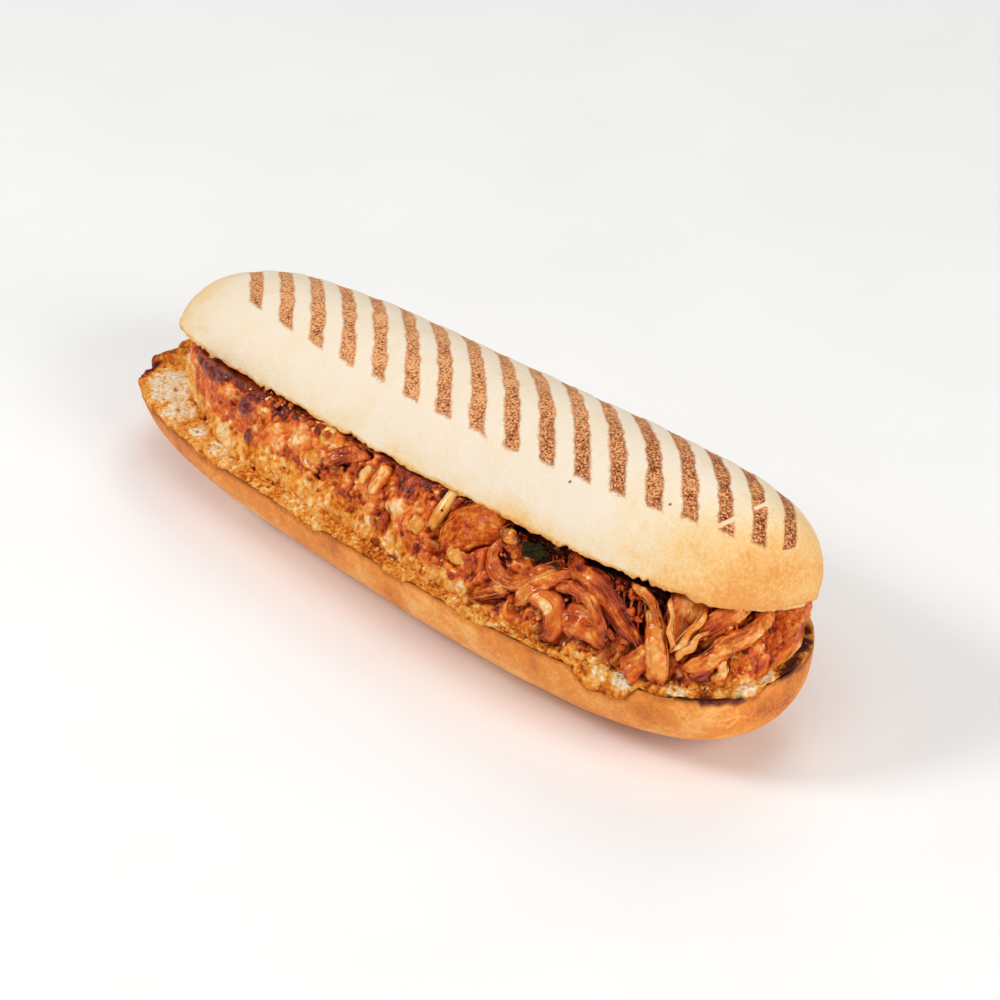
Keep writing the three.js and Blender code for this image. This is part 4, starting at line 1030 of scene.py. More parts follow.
MEAT_RAMP = [(0.0, "#3A0D04"), (0.18, "#7E2006"), (0.34, "#B23C08"), (0.5, "#CE5A10"), (0.64, "#DE761F"),
    (0.78, "#EA9A44"), (0.9, "#F2BC76"), (1.0, "#F9DCB0")]


# Chicken meat: moist and glossy, its fine pale fibres showing through a thin coat of orange
# sauce that pools darker at the edges. Grooves, edges, ends and undersides are also painted
# darker as shade, and upper sides paler as light. The fibres are drawn about half a
# millimetre wide.
def meat_material(name, streaks, stains, wetness, ridge_strength):
    """Cooked meat coloured by the tone attribute and by streaks along its grain attribute."""
    material, tree = new_material(name)
    tone = add_node(tree, "Attribute", out="Fac", attribute_name="tone")
    grain = add_node(tree, "Attribute", out="Vector", attribute_name="grain")
    fibres = add_node(tree, "VectorMath", {0: grain, 1: (0.2, 1.0, 1.0)}, operation="MULTIPLY")
    streak = add_node(tree, "TexNoise", {"Vector": fibres, "Scale": 1.6, "Detail": 4.0, "Roughness": 0.65})
    blotch = add_node(tree, "TexNoise", {"Vector": grain, "Scale": 0.7, "Detail": 4.0, "Roughness": 0.65})
    streaked = mottle(tree, tone, streak, -streaks, streaks)
    stained = mottle(tree, streaked, blotch, -stains, stains, clamp=True)
    colour = add_node(tree, "ValToRGB", {"Fac": stained}, stops=MEAT_RAMP)
    ridges = add_node(tree, "Bump", {"Height": streak, "Strength": ridge_strength, "Distance": 0.0007})
    finish_material(tree, {"Base Color": colour, "Roughness": 0.48, "Specular IOR Level": 0.12,
        "Coat Weight": wetness, "Coat Roughness": 0.17, "Normal": ridges, "Subsurface Weight": 0.25,
        "Subsurface Radius": (1.0, 0.45, 0.15), "Subsurface Scale": 0.0012})
    return material


# The pale meat took less sauce and lies smoother, the lumps are drier and more blotched
chicken_material = meat_material("sauced_pulled_chicken", 0.12, 0.11, 0.5, 0.8)
pale_chicken_material = meat_material("pale_pulled_chicken", 0.03, 0.1, 0.55, 0.35)
lump_material = meat_material("braised_chicken_lumps", 0.12, 0.24, 0.08, 0.9)

for seed, (name, (route, widths, thickness, cooked, coarseness, pale)) in enumerate(SHREDS.items()):
    if name == "onion_stick":
        continue
    grid, strip = shred_grid(route, widths, thickness, 6, seed)
    slim = min(1.0, thickness / 3.0)
    bundles, fine = fibre_relief(strip, 100 + 10 * seed)
    knobs = clouds(strip + 31.0 * seed, 4.0, 3, seed=200 + seed)
    torn_rough = clouds(strip + 17.0 * seed, 0.9, 2, seed=230 + seed)
    knobby = slim * (0.35 if name == "chicken_chunk" else 1.0)
    push = (bundles * BUNDLE_DEPTH * slim + fine * FIBRE_DEPTH) * coarseness
    push = push + (0.85 * knobs + 0.16 * torn_rough) * knobby
    grid = pushed(grid, push)
    upper = strip[..., 2] / (thickness / 2)
    sideways = np.abs(strip[..., 1])
    edges = smoothstep(sideways / np.maximum(sideways.max(1, keepdims=True), 0.1), 0.7, 1.0)
    ends = smoothstep(np.abs(2 * strip[..., 0] / strip[..., 0].max() - 1), 0.8, 1.0)
    pools = clouds(strip * [0.5, 1, 1] + 23.0 * seed, 2.6, 3, seed=260 + seed)
    shred_tone_with_shade = cooked + 0.06 * coarseness * (bundles + fine) + 0.10 * knobs
    shred_tone_with_shade += (0.25 * pools + 0.08 * torn_rough) * (0.25 + 0.75 * coarseness) * (0.4 + 0.6 * knobby)
    # Painted shade and light: the grooves, edges, ends and undersides darker, the upper side paler
    shred_tone_with_shade += 0.24 * np.clip(push, -1.2, 0.6) - 0.09
    shred_tone_with_shade += 0.12 * upper - 0.20 * edges - 0.12 * (1 - upper) * edges - 0.16 * ends
    # painted highlights, and a few spots painted darker
    for centre, reach, change in SHRED_HIGHLIGHTS_AND_DARK_SPOTS:
        shred_tone_with_shade += change * smoothstep(1 - away_from(grid, centre) / reach + 0.3 * pools, 0.1, 0.7)
    meat = pale_chicken_material if pale else lump_material if name == "chicken_chunk" else chicken_material
    shred = piece_from_rings(name + "_shred", grid, meat, tone=np.clip(shred_tone_with_shade, 0, 1), grain=strip)
    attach(shred, "root")
    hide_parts(name)

# Chicken lumps: torn knots of meat at the fuller end, rounded and coarse, held together by the
# sauce. Of each: middle, size, turn, tip, squareness and tone.
KNOTS = {
    "chicken_nub": ((112.6, -9.5, 35.0), (7.0, 7.0, 7.0), 0.6, 0.2, 2.4, 0.54),
    "chicken_end_mass": ((109.0, 2.5, 36.6), (16.0, 21.0, 15.5), 0.2, -0.1, 2.3, 0.42),
    "chicken_end_piece": ((109.6, 15.6, 38.6), (9.5, 8.5, 9.5), 0.5, 0.1, 2.3, 0.64),
}
KNOT_RINGS, KNOT_SIDES = 80, 110


def sphere(rings, sides):
    """A ball of radius 1 as a grid of rings round X."""
    latitude = np.pi * (np.arange(rings) + 0.5)[:, None] / rings
    longitude = 2 * np.pi * np.arange(sides) / sides
    return join(np.cos(latitude), np.sin(latitude) * np.cos(longitude), np.sin(latitude) * np.sin(longitude))


def placed(points, centre, turn, tip):
    """Points tipped about X, turned about Z and moved to a centre."""
    spin = np.array(Matrix.Rotation(turn, 3, "Z") @ Matrix.Rotation(tip, 3, "X"))
    return points @ spin.T + np.array(centre)


def knot_block(size, power):
    """A rounded block: a sphere whose coordinates are raised to 2/power, and scaled."""
    return signed_power(sphere(KNOT_RINGS, KNOT_SIDES), 2 / power) * np.array(size) / 2


for seed, (name, (centre, size, turn, tip, power, cooked)) in enumerate(KNOTS.items()):
    block = knot_block(size, power)
    grain_space = (block + 0.8 * drift(block, 5.0, 300 + seed))[..., [1, 0, 2]]
    bundles, fine = fibre_relief(grain_space, 310 + 10 * seed)
    lumpy = clouds(block + 17.0 * seed, 5.0, 3, seed=340 + seed)
    torn_rough = clouds(block + 3.0 * seed, 1.3, 3, seed=350 + seed)
    grid = pushed(placed(block, centre, turn, tip), 0.25 * bundles + 0.12 * fine + 1.1 * lumpy
        + 0.9 * torn_rough)
    knot_tone = np.clip(cooked - 0.03 + 0.05 * bundles + 0.28 * lumpy + 0.24 * torn_rough, 0, 1)
    pale = name == "chicken_end_piece"
    knot = piece_from_rings(name + "_knot", grid, pale_chicken_material if pale else lump_material,
        tone=knot_tone, grain=grain_space)
    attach(knot, "root")
    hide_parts(name)

# Onion: diced and sliced, cooked until it is soft, see-through and yellow. It settled into the
# cheese, and its undersides are painted darker as shade.
# Cooked onion flesh: juicy and half clear, so light spreads inside it, with a wet even gloss
def onion_material(name, stops):
    """Onion tinted by its tone attribute, with clots a few millimetres across."""
    material, tree = new_material(name)
    tone = add_node(tree, "Attribute", out="Fac", attribute_name="tone")
    grain = add_node(tree, "Attribute", out="Vector", attribute_name="grain")
    clots = add_node(tree, "TexNoise", {"Vector": grain, "Scale": 0.55, "Detail": 5.0, "Roughness": 0.6})
    cloudy = mottle(tree, tone, clots, -0.22, 0.22, clamp=True)
    colour = add_node(tree, "ValToRGB", {"Fac": cloudy}, stops=stops)
    finish_material(tree, {"Base Color": colour, "Roughness": 0.3, "Specular IOR Level": 0.4,
        "Coat Weight": 0.3, "Coat Roughness": 0.1, "Subsurface Weight": 0.6,
        "Subsurface Radius": (1.0, 0.6, 0.25), "Subsurface Scale": 0.002})
    return material


white_onion = onion_material("soft_cooked_onion",
    [(0.05, "#9C430C"), (0.3, "#DD8420"), (0.6, "#EDA945"), (0.8, "#F2CB86"), (0.97, "#F8E6C0")])
red_onion = onion_material("cooked_red_onion", [(0.1, "#5A150B"), (0.5, "#A63A16"), (0.9, "#CE6A30")])

ONION_SUNK = 0.9                    # how far the pieces settled into the cheese
for seed, (name, (centre, size, turn, tip, power, cooked)) in enumerate(ONIONS.items()):
    block = knot_block(size, power)
    dents = clouds(block + 13.0 * seed, 3.0, 2, seed=400 + seed)
    torn_rim = clouds(block + 5.0 * seed, 1.2, 2, seed=410 + seed)
    grid = pushed(placed(block, centre, turn, tip), 1.2 * dents + 0.3 * torn_rim)
    # painted shade: the underside of each piece is darker
    low = smoothstep(-block[..., 2] / size[2] * 2 + 0.5 * dents, -0.5, 0.5)
    red = name == "red_onion_piece"
    onion = piece_from_rings(name + "_flesh", grid - ONION_SUNK * outward(*centre[:2]), red_onion if red
        else white_onion, tone=np.clip(cooked + 0.25 * dents - 0.55 * low, 0, 1), grain=block)
    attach(onion, "root")
    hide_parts(name)

route, widths, thickness, cooked, *_ = SHREDS["onion_stick"]
grid, strip = shred_grid(route, widths, thickness, 12, 5)
stick = piece_from_rings("onion_stick_flesh",
    pushed(grid, 0.12 * clouds(strip * [0.3, 1, 1], 1.5, 2, seed=420)), white_onion, tone=cooked
    - 0.25 * smoothstep(strip[..., 0], 5, 11), grain=strip)
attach(stick, "root")
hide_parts("onion_stick")

# A leaf of parsley, cooked dark, tucked under the lid: thin, wavy and cut in at its margin.
LEAF_CENTRE = np.array([54.0, -23.4, 45.9])
LEAF_LENGTH, LEAF_WIDTH = 8.0, 4.4
LEAF_TURN, LEAF_TIP = 0.3, 0.8
LEAF_THICKNESS = 0.35
LEAF_RINGS, LEAF_SIDES = 26, 96


def leaf_face(way):
    """One face of the leaf: an egg shape whose margin is scalloped by a sine of its angle, on a
    sheet that waves along and across."""
    share = (np.arange(LEAF_RINGS) + 0.5)[:, None] / LEAF_RINGS
    angle = 2 * np.pi * np.arange(LEAF_SIDES)[None, :] / LEAF_SIDES
    scallop = 1 + share ** 3 * (0.12 * np.sin(5 * angle + 1) + 0.06 * np.sin(13 * angle))
    u = share * scallop * LEAF_LENGTH / 2 * np.cos(angle)
    v = share * scallop * LEAF_WIDTH / 2 * np.sin(angle) * (1 - 0.25 * np.cos(angle))
    veins = 0.06 * np.abs(np.sin(4 * (u + 0.6 * np.abs(v))))
    wave = 0.25 * np.sin(1.3 * u) + 0.2 * np.cos(1.6 * v) - veins
    thin = LEAF_THICKNESS / 2 * np.sqrt(1 - 0.98 * share ** 4)
    return join(u, v, wave + way * thin)


# Wilted parsley: almost black-green, thin, with a dull wax shine
leaf_material, tree = new_material("wilted_parsley")
sheet_place = add_node(tree, "Attribute", out="Vector", attribute_name="grain")
blotch = add_node(tree, "TexNoise", {"Vector": sheet_place, "Scale": 1.3, "Detail": 4.0})
green = add_node(tree, "ValToRGB", {"Fac": blotch},
    stops=[(0.35, "#150D05"), (0.5, "#231906"), (0.68, "#37300B")])
finish_material(tree, {"Base Color": green, "Roughness": 0.75, "Specular IOR Level": 0.1})
leaf_local = np.concatenate([leaf_face(1.0), leaf_face(-1.0)[::-1]])
leaf = piece_from_rings("parsley_leaf", placed(leaf_local, LEAF_CENTRE, LEAF_TURN, LEAF_TIP),
    leaf_material, grain=leaf_local)
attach(leaf, "root")
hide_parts("herb_leaf")

# Minced chicken: small bits that stick out of the sauce all along the open side, each a torn
# crumb of a few millimetres lying half sunk.
MINCE_COUNT = 760
MINCE_LARGEST = 2.7
LEAF_CLEAR = 5.0                    # no bit lies nearer to the leaf's middle
LUMP_RINGS, LUMP_SIDES = 9, 12
random = np.random.default_rng(2026)


def lump_shapes(centres, sizes, spins, seed):
    """Many small lumps at once: a sphere each, scaled along three axes, dented by coarse and
    fine noise, and turned by its own matrix. The result is a grid of rings for each lump."""
    body = sphere(LUMP_RINGS, LUMP_SIDES)[None] * sizes[:, None, None, :] / 2
    own = body / sizes.mean(-1)[:, None, None, None] * 2 + 50.0 * np.arange(len(centres))[:, None, None,
        None]
    dents, nicks = clouds(own, 1.1, 2, seed), cloud(own, 0.55, seed + 5)
    body = body * (1 + 0.62 * dents[..., None] + 0.26 * nicks[..., None])
    return np.einsum("nij,nrsj->nrsi", spins, body) + centres[:, None, None, :]


def random_spins(count):
    """Random turns: each is the product of turns about Z, Y and X by any angle."""
    spins = np.eye(3)
    for axis, angle in zip((2, 1, 0), 2 * np.pi * random.random((3, count))):
        u, v = (axis + 1) % 3, (axis + 2) % 3
        turn = np.zeros((count, 3, 3))
        turn[:, axis, axis] = 1.0
        turn[:, u, u] = turn[:, v, v] = np.cos(angle)
        turn[:, v, u] = np.sin(angle)
        turn[:, u, v] = -np.sin(angle)
        spins = spins @ turn
    return spins


def random_sizes(count, largest, least_share, rarity, longest):
    """Sizes along three axes: mostly small, because a random number is raised to a power."""
    size = largest * (least_share + (1 - least_share) * random.random(count) ** rarity)
    return size[:, None] * random.uniform(0.5, longest, (count, 3))


def piece_from_many(name, grids, material, **attributes):
    """Makes one object of many grids of closed rings, shaped (count, rings, around, 3), each
    closed at its two ends. The attributes have the same shape without the last axis."""
    count, rings, around = grids.shape[:3]
    columns = []
    for values in (grids, *attributes.values()):
        flat = values.reshape(count, rings * around, *values.shape[3:])
        columns.append(np.concatenate([values[:, :1].mean(2), flat, values[:, -1:].mean(2)], axis=1))
    size = rings * around + 2
    quads, triangles = ring_faces(rings, around)
    shift = (np.arange(count) * size)[:, None, None]
    piece = piece_from_faces(name, columns[0].reshape(-1, 3), (quads[None] + shift).reshape(-1, 4),
        (triangles[None] + shift).reshape(-1, 3), material)
    for attribute, values in zip(attributes, columns[1:]):
        paint(piece, attribute, values.reshape(count * size, *values.shape[2:]))
    return piece


def on_heap(x_low, x_high, share_low, share_high, count, lift):
    """Random places on the open side of the heap, as places, turns and shares."""
    turn = -np.arccos(np.clip(random.uniform(x_low, x_high, count) / (HALF_LENGTH * 0.93), -0.99, 0.99))
    share = random.uniform(share_low, share_high, count)
    place, _ = heap_surface(turn, share)
    return place + outward(place[:, 0], place[:, 1]) * lift, turn, share


centres, _, share = on_heap(-72, 102, 0.60, 0.96, MINCE_COUNT, 0.1)
sizes = random_sizes(MINCE_COUNT, MINCE_LARGEST, 0.3, 2.4, 1.3)
for centre, reach, _, _, smoothness in HEAP_PLACES:
    sizes[(away_from(centres, centre) < 0.8 * reach) & (smoothness > 0.3)] *= 0.35
clear = np.minimum(shred_gap(centres), away_from(centres, LEAF_CENTRE) - LEAF_CLEAR)
kept = (clear > 0.2) & (random.random(MINCE_COUNT) > 0.6 * smoothstep(-centres[:, 0], 10, 30))
centres, sizes, share = centres[kept], sizes[kept], share[kept]
grids = lump_shapes(centres, sizes, random_spins(len(centres)), 500)
bit_tone = 0.44 + 0.11 * random.standard_normal(len(centres))
# Bits higher up, under the lid's edge, are darker: painted shade of the lid
bit_tone += 0.2 * smoothstep(-centres[:, 0], 20, 50) - 0.24 * (1 - smoothstep(share, 0.64, 0.78))
bit_tone = bit_tone[:, None, None] + 0.2 * clouds(grids, 0.9, 2, seed=510)
mince = piece_from_many("minced_chicken_bits", grids, chicken_material, tone=np.clip(bit_tone, 0, 1),
    grain=grids)
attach(mince, "root")

# Herb flakes: two specks of dried leaf, crumbled over the filling and stuck to its sauce, one
# on a shred and a smaller one on the onion stick.
FLAKES = np.array([[62.6, -24.4, 46.6], [20.9, -25.9, 43.4]])
FLAKE_SIZES = np.array([[3.0, 1.2, 0.9], [0.7, 0.6, 0.6]])
flake_turn = np.array(Matrix.Rotation(0.5, 3, "Z"))
grids = lump_shapes(FLAKES, FLAKE_SIZES, np.stack([flake_turn, flake_turn]), 560)
flakes = piece_from_many("herb_flakes", grids, leaf_material, grain=grids)
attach(flakes, "root")

# Loose fibres: threads of meat that tore off the shreds when the chicken was pulled. They lie
# along their shred and lift away at their ends, more lie in the sauce at the fuller end, and a
# few fine hairs stand across the slabs.
FIBRE_POINTS, FIBRE_SIDES = 14, 5
HEAP_FIBRES = 60
FIBRES_PER_MM = 0.42                 # loose fibres for each millimetre of a shred's length
HAIRS = [[[114.5, -10.5, 46.0], [115.3, -11.6, 43.6], [115.2, -12.6, 41.2], [115.0, -13.0, 38.6]],
    [[113.6, -12.4, 41.2], [114.5, -12.7, 38.6], [114.6, -12.9, 36.0], [115.4, -11.6, 33.2]],
    [[117.0, -2.0, 45.0], [117.9, -1.9, 42.5], [117.8, -2.9, 40.0], [118.2, -2.8, 37.2]],
    [[117.0, 3.6, 44.6], [117.9, 3.8, 42.4], [117.6, 5.0, 40.4], [117.6, 5.4, 38.0]]]


def fibre_grids(paths, radii):
    """Round tubes along many paths at once: at each point a ring lies across the path's
    direction, found from the differences between its neighbours."""
    tangent = unit(np.gradient(paths, axis=1))
    side = unit(np.cross(tangent, np.array([0.31, -0.52, 0.79])))
    normal = np.cross(side, tangent)
    angle = 2 * np.pi * np.arange(FIBRE_SIDES)[:, None] / FIBRE_SIDES
    ring = side[:, :, None] * np.cos(angle) + normal[:, :, None] * np.sin(angle)
    return paths[:, :, None] + ring * radii[:, :, None, None]


def taper(count, thickest):
    """Radii along each fibre: a random radius that thins towards both ends."""
    s = np.linspace(-1, 1, FIBRE_POINTS)
    radius = thickest * random.uniform(0.45, 1.0, count)
    return radius[:, None] * (1 - 0.8 * np.abs(s) ** 3)


paths, radii, fibre_tones = [], [], []
s = np.linspace(0, 1, FIBRE_POINTS)
for name, (route, widths, thickness, cooked, coarseness, _) in SHREDS.items():
    if name == "onion_stick":
        continue
    _, length = route_points(route, 3)
    count = max(2, int(length * FIBRES_PER_MM * coarseness))
    run = random.uniform(0.3, 0.75, count)
    start = random.uniform(-0.05, 1.05 - run, count)
    t = start[:, None] + run[:, None] * s
    centre, side, normal, _ = shred_place(route, thickness, t)
    angle = random.uniform(0.15, np.pi - 0.15, count)[:, None]
    angle = angle + 0.25 * (s - 0.5) * random.standard_normal((count, 1))
    rounding = (1 - np.clip(np.abs(2 * t - 1), 0, 0.995) ** 6) ** (1 / 6)
    lift = 0.05 + (np.abs(2 * s - 1) ** 5) * random.gamma(1.2, 0.3, (count, 1))
    sway = (s - 0.5) ** 3 * 8 * random.normal(0, 0.35, (count, 1))
    half_width = spread(widths, np.clip(t, 0, 1)) / 2 * rounding
    across = half_width * signed_power(np.cos(angle), 2 / SHRED_POWER) + sway
    deep = thickness / 2 * rounding * signed_power(np.sin(angle), 2 / SHRED_POWER) + lift
    paths.append(centre + side * across[..., None] + normal * deep[..., None])
    radii.append(taper(count, 0.27 * min(1.0, thickness / 2.6)))
    fibre_tones.append(np.clip(cooked + 0.06 + 0.08 * random.standard_normal(count), 0, 1))

s = np.linspace(-1, 1, FIBRE_POINTS)
_, turn, share = on_heap(60, 112, 0.62, 0.93, HEAP_FIBRES, 0.0)
lean = random.normal(0.6, 0.9, HEAP_FIBRES)[:, None]
reach = random.uniform(2.0, 7.0, HEAP_FIBRES)[:, None]
heading = lean + random.normal(0, 0.5, (HEAP_FIBRES, 1)) * s
turn_path = turn[:, None] + s * reach * np.cos(heading) / 100.0
share_path = np.clip(share[:, None] + s * reach * np.sin(heading) / 26.0, 0.5, 1.0)
path, _ = heap_surface(turn_path, share_path)
bow = -1.5 + (1 - s ** 2) * random.uniform(0.0, 1.1, (HEAP_FIBRES, 1))
paths.append(path + outward(path[..., 0], path[..., 1]) * bow[..., None])
radii.append(taper(HEAP_FIBRES, 0.36))
fibre_tones.append(np.clip(0.40 + 0.15 * random.standard_normal(HEAP_FIBRES), 0, 1))

paths.append(np.stack([route_points(hair, FIBRE_POINTS)[0] for hair in HAIRS]))
radii.append(taper(len(HAIRS), 0.13))
fibre_tones.append(np.full(len(HAIRS), 0.68))

grids = fibre_grids(np.concatenate(paths), np.concatenate(radii))
grain_space = join(np.arange(FIBRE_POINTS)[:, None] * 0.6, grids[..., 1], grids[..., 2])
fibre_tone = np.concatenate(fibre_tones)[:, None, None] + 0.1 * clouds(grids, 2.0, 2, seed=520)
fibres = piece_from_many("loose_chicken_fibres", grids, chicken_material, tone=np.clip(fibre_tone, 0, 1),
    grain=grain_space)
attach(fibres, "root")

# Toasted crumbs: small bits of bread that broke off where the roll was torn, dry and toasted
# with it. They lie loose along the rim and the foot of the filling.
CRUMB_COUNT = 320
CRUMB_LARGEST = 1.5
turn = random.choice(turns_evenly(base_outline, -np.pi - 0.2, 0.2, 3000), CRUMB_COUNT)
across = random.uniform(0.0, 1.25, CRUMB_COUNT)
plan = base_outline(turn) * 0.985
plan = plan + (heap_foot(turn) - plan) * across[:, None]
centres = on_cut_face(plan, random.uniform(0.0, 0.7, CRUMB_COUNT) + 1.6 * np.maximum(across - 1, 0))
sizes = random_sizes(CRUMB_COUNT, CRUMB_LARGEST, 0.25, 2.5, 1.2)
sizes[(charring(centres) > 0.05) | (plan[:, 0] > 112)] *= 0.3
grids = lump_shapes(centres, sizes, random_spins(CRUMB_COUNT), 530)
crumb_tone = np.clip(0.56 + 0.12 * random.standard_normal(CRUMB_COUNT), 0.42, 1)[:, None, None]
crumbs = piece_from_many("toasted_crumbs", grids, crumb_material, char=0 * grids[..., 0],
    tone=np.clip(crumb_tone + 0.15 * clouds(grids, 0.8, 2, seed=540), 0, 1))
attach(crumbs, "root")

# The lid: the upper half of the roll, pale and floury because it was baked through but not
# browned, with dark bars where the ribbed press plate touched it. Its rim is roughly torn.
LID_HEIGHT = 28.0
LID_SECTION = (2.16, 1.79)          # powers of the dome's section, across and up
LID_HEIGHT_ENDS = (3.4, 4.7)        # powers by which its height rounds off towards the two ends
LID_SWELL = 0.09
LID_BOW = 0.43
LID_STATIONS, LID_CRUST_STEPS, LID_CUT_STEPS = 480, 150, 50
MARK_COUNT = 17
MARK_FIRST = -74.5                  # where the first bar's line crosses y = -MARK_FRONT
MARK_STEP = 13.36                   # between bars, measured along the roll
MARK_SLANT = 1.235                  # how far a bar moves along the roll for each millimetre back
MARK_FRONT = 25.5                   # how far in front of the middle the plate reached
MARK_BACK = 21.0
MARK_ENDS = 113.5
MARK_POWER = 2.8                    # of the oval that the plate's reach rounds off by
MARK_HALF_WIDTH = 1.95
MARK_DEPTH = 0.22


def lid_crust(c, angle):
    """The dome over the cut: a flat-topped superellipse across whose height rounds off towards
    the ends, grows a little along +X and curls up at both ends."""
    x = c * LID_HALF_LENGTH
    y = lid_half_width(c) * signed_power(-np.cos(angle), 2 / LID_SECTION[0]) + LID_BOW * c * c
    relief = CRUST_RELIEF * unevenness(x, 55 * angle, 0, LID_WAVE)
    height = (LID_HEIGHT + relief) * (1 + LID_SWELL * c) * end_rounding(c, *LID_HEIGHT_ENDS)
    return join(x, y, height * signed_power(np.maximum(np.sin(angle), 0), 2 / LID_SECTION[1])
        + LID_SAG * c * c)


def lid_cut(c, across):
    """The lid's cut face, from -1 at one rim to 1 at the other, curled up at both ends."""
    return join(c * LID_HALF_LENGTH, lid_half_width(c) * across + LID_BOW * c * c, LID_SAG * c * c)


def mark_reach(x, y):
    """How far inside a press bar a point lies, in millimetres, negative outside: the least of
    the distances to the bar's two long sides and to the plate's front and back outline."""
    along = (x + MARK_SLANT * (y + MARK_FRONT) - MARK_FIRST) / MARK_STEP
    bar = np.clip(np.round(along), 0, MARK_COUNT - 1)
    sideways = MARK_HALF_WIDTH - np.abs(along - bar) * MARK_STEP / np.hypot(1, MARK_SLANT)
    oval = np.maximum(0, 1 - np.minimum(np.abs(x) / MARK_ENDS, 1) ** MARK_POWER) ** (1 / MARK_POWER)
    return np.minimum(sideways, np.minimum(y + MARK_FRONT * oval, MARK_BACK * oval - y))


lid_grid, station, on_cut = half_roll(lid_crust, lid_cut, lid_half_width, LID_HALF_LENGTH, LID_STATIONS,
    LID_CRUST_STEPS, LID_CUT_STEPS)
x, y, z = np.moveaxis(lid_grid, -1, 0)
above_rim = z - LID_SAG * station ** 2
edge_share = np.clip(np.abs(y) / np.maximum(lid_half_width(station), 1.0), 0, 1)
reach = np.where(on_cut > 0, -5.0, mark_reach(x, y))
nearest, second, _ = cobbles(lid_grid, 2.2, seed=600)
crumb = (second - nearest) - 0.35 + 0.7 * clouds(lid_grid, 2.6, 3, seed=601)
ragged = np.where(on_cut > 0, smoothstep(edge_share, 0.85, 1.0), smoothstep(-above_rim, -1.9, -0.1))
skin = 0.08 * clouds(lid_grid, 1.3, 2, seed=602) + 0.22 * clouds(lid_grid, 11.0, 2, seed=603)
push = np.where(on_cut > 0, crumb * 0.55, skin * (1 - ragged)) - MARK_DEPTH * smoothstep(reach, -0.3, 0.3)
lid_grid = pushed(lid_grid, push)
# noise that is the same all the way up, so that it tears the rim in teeth
upright = join(x, y * 0.3, 0.0)
teeth = clouds(upright, 5.0, 2, seed=604)
nicks = clouds(upright, 1.3, 2, seed=609)
torn_here = smoothstep(clouds(upright, 9.0, 2, seed=612), -0.35, 0.45)
lid_grid[..., 2] += ragged * (0.8 * teeth + (0.25 + 0.9 * torn_here) * nicks - 0.1)
lid_grid[..., 1] += ragged * 0.5 * clouds(lid_grid, 1.6, 2, seed=605)
tucked = smoothstep(x, 107, 115) * (1 - smoothstep(above_rim, 0.0, 9.0))
lid_grid[..., 0] -= 1.6 * tucked
lid_grid[..., 2] += tucked * ragged

# how golden each place is baked: more towards the rim, the two ends and the fuller end
golden = (0.16 + 0.3 * clouds(lid_grid, 14.0, 3, seed=606)) * (1 - smoothstep(above_rim, 0.5, 9.0))
golden += 0.62 * smoothstep(x, 64, 114) * (1 - 0.8 * smoothstep(above_rim, 9, 28))
golden += 0.14 * smoothstep(x, 88, 112) + 0.6 * (1 - smoothstep(above_rim + 0.5 * nicks, 0.2, 1.3))
golden += 0.5 * smoothstep(-x, 92, 115) + 0.3 * smoothstep(y, 10, 30) * (1 - smoothstep(above_rim, 14, 24))
golden += 0.10 * clouds(lid_grid, 16.0, 3, seed=607)
golden += 0.10 * smoothstep(clouds(lid_grid, 3.0, 3, seed=611), 0.1, 0.5)
golden = np.clip(golden, 0, 1)
# Burnt specks of flour, and thin cracks where a bar's skin split: their places on the roll
LID_SPECKS = [(53.9, -10.7, 61.8), (82.9, -3.5, 65.8)]
BAR_CRACKS = [((97.4, -0.5, 65.1), (99.0, 3.0, 66.3)), ((100.5, 9.5, 67.2), (100.7, 14.9, 66.6))]
on_roll = lid_to_roll(lid_grid)
for start, end in BAR_CRACKS:
    reach = np.minimum(reach, bar_distance(on_roll, start, end) * 4 - 2.4)
scorched = np.clip((x + 75) / 150, 0, 1) ** 3 + 0.4 * clouds(lid_grid, 20.0, 2, seed=608)

# Soft-baked wheat crust: cream and dull with the finest bloom of flour, and press bars
# scorched to a mottle of tan and dark brown. The mottle is drawn at about half a millimetre.
lid_material, tree = new_material("soft_baked_crust_with_press_bars")
place = add_node(tree, "TexCoord", out="Object")
masks = {name: add_node(tree, "Attribute", out="Fac", attribute_name=name)
    for name in ("on_cut", "reach", "golden", "scorched")}
fine = add_node(tree, "TexNoise", {"Vector": place, "Scale": 1300.0, "Detail": 3.0, "Roughness": 0.6})
broad = add_node(tree, "TexNoise", {"Vector": place, "Scale": 75.0, "Detail": 4.0, "Roughness": 0.55})
grains = add_node(tree, "TexNoise", {"Vector": place, "Scale": 800.0, "Detail": 4.0, "Roughness": 0.7})
grains = add_node(tree, "MapRange", {"Value": grains, "From Min": 0.35, "From Max": 0.65, "To Min": -0.2,
    "To Max": 0.2})
warm = mottle(tree, masks["golden"], broad, -0.1, 0.13)
warm = mottle(tree, warm, fine, -0.1, 0.11)
warm = add_node(tree, "Math", {0: grains, 1: masks["golden"], 2: warm}, operation="MULTIPLY_ADD",
    use_clamp=True)
cream = add_node(tree, "ValToRGB", {"Fac": warm},
    stops=[(0.0, "#F5E5CE"), (0.2, "#F4DDB9"), (0.45, "#F3CD92"), (0.75, "#F0B76C"), (1.0, "#E89E50")])
scorch_noise = add_node(tree, "TexNoise",
    {"Vector": place, "Scale": 1550.0, "Detail": 2.0, "Roughness": 0.6})
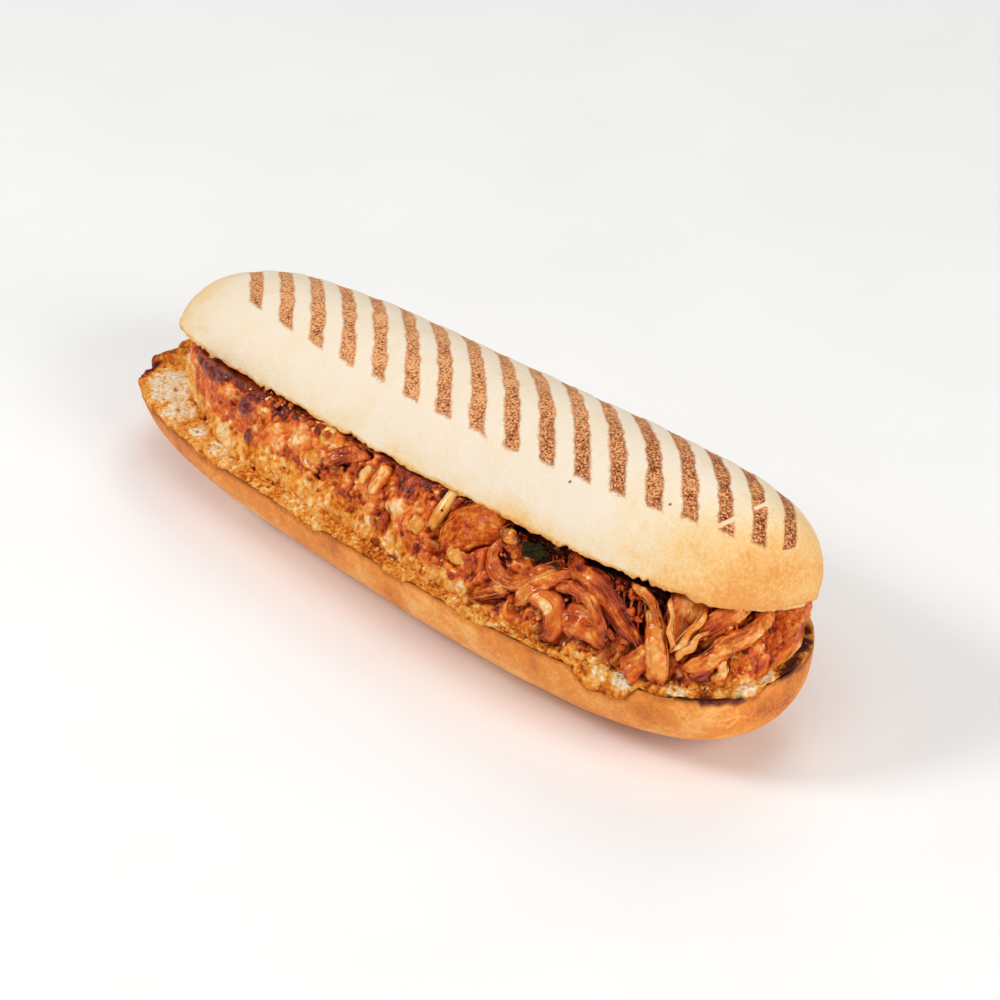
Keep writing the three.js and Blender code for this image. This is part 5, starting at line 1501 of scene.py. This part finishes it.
bar_noise = add_node(tree, "TexNoise", {"Vector": place, "Scale": 160.0, "Detail": 2.0})
scorch = add_node(tree, "Math", {0: bar_noise, 1: 0.3, 2: scorch_noise}, operation="MULTIPLY_ADD")
scorch = mottle(tree, scorch, masks["reach"], -0.04, 0.0, span=(0.1, 0.9))
scorch = add_node(tree, "Math", {0: masks["scorched"], 1: -0.07, 2: scorch}, operation="MULTIPLY_ADD")
bar_colour = add_node(tree, "ValToRGB", {"Fac": scorch},
    stops=[(0.43, "#5C1E0E"), (0.52, "#99491E"), (0.60, "#C67B42"), (0.71, "#EFB27A")])
inside = mottle(tree, masks["reach"], scorch_noise, -0.5, 0.5, span=(0.25, 0.75))
inside = mottle(tree, inside, bar_noise, -0.6, 0.5, span=(0.25, 0.75))
inside = add_node(tree, "MapRange", {"Value": inside, "From Min": -0.3, "From Max": 0.25})
crumb_colour = add_node(tree, "ValToRGB", {"Fac": fine},
    stops=[(0.3, "#DD9A48"), (0.5, "#EDBF80"), (0.7, "#F5DAAE")])
layers = [(inside, bar_colour), (masks["on_cut"], crumb_colour)]
for spot in LID_SPECKS:
    gap = add_node(tree, "VectorMath", {0: place, 1: tuple(value * MM for value in spot)},
        operation="DISTANCE")
    burnt = add_node(tree, "MapRange", {"Value": gap, "From Min": 0.0002, "From Max": 0.0006,
        "To Min": 1.0, "To Max": 0.0})
    layers.append((burnt, linear("#5A3C28")))
colour = cream
for share, other in layers:
    colour = add_node(tree, "Mix", {0: share, 6: colour, 7: other}, data_type="RGBA")
bloom = add_node(tree, "Bump", {"Height": fine, "Strength": 0.5, "Distance": 0.0005})
finish_material(tree, {"Base Color": colour, "Roughness": 0.7, "Specular IOR Level": 0.3, "Normal": bloom,
    "Subsurface Weight": 0.1, "Subsurface Radius": (1.0, 0.6, 0.35), "Subsurface Scale": 0.0015})
lid = piece_from_rings("bread_lid_crust", lid_to_roll(lid_grid), lid_material, on_cut=on_cut, reach=reach,
    golden=golden, scorched=scorched)
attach(lid, "root")
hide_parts("bread_lid")
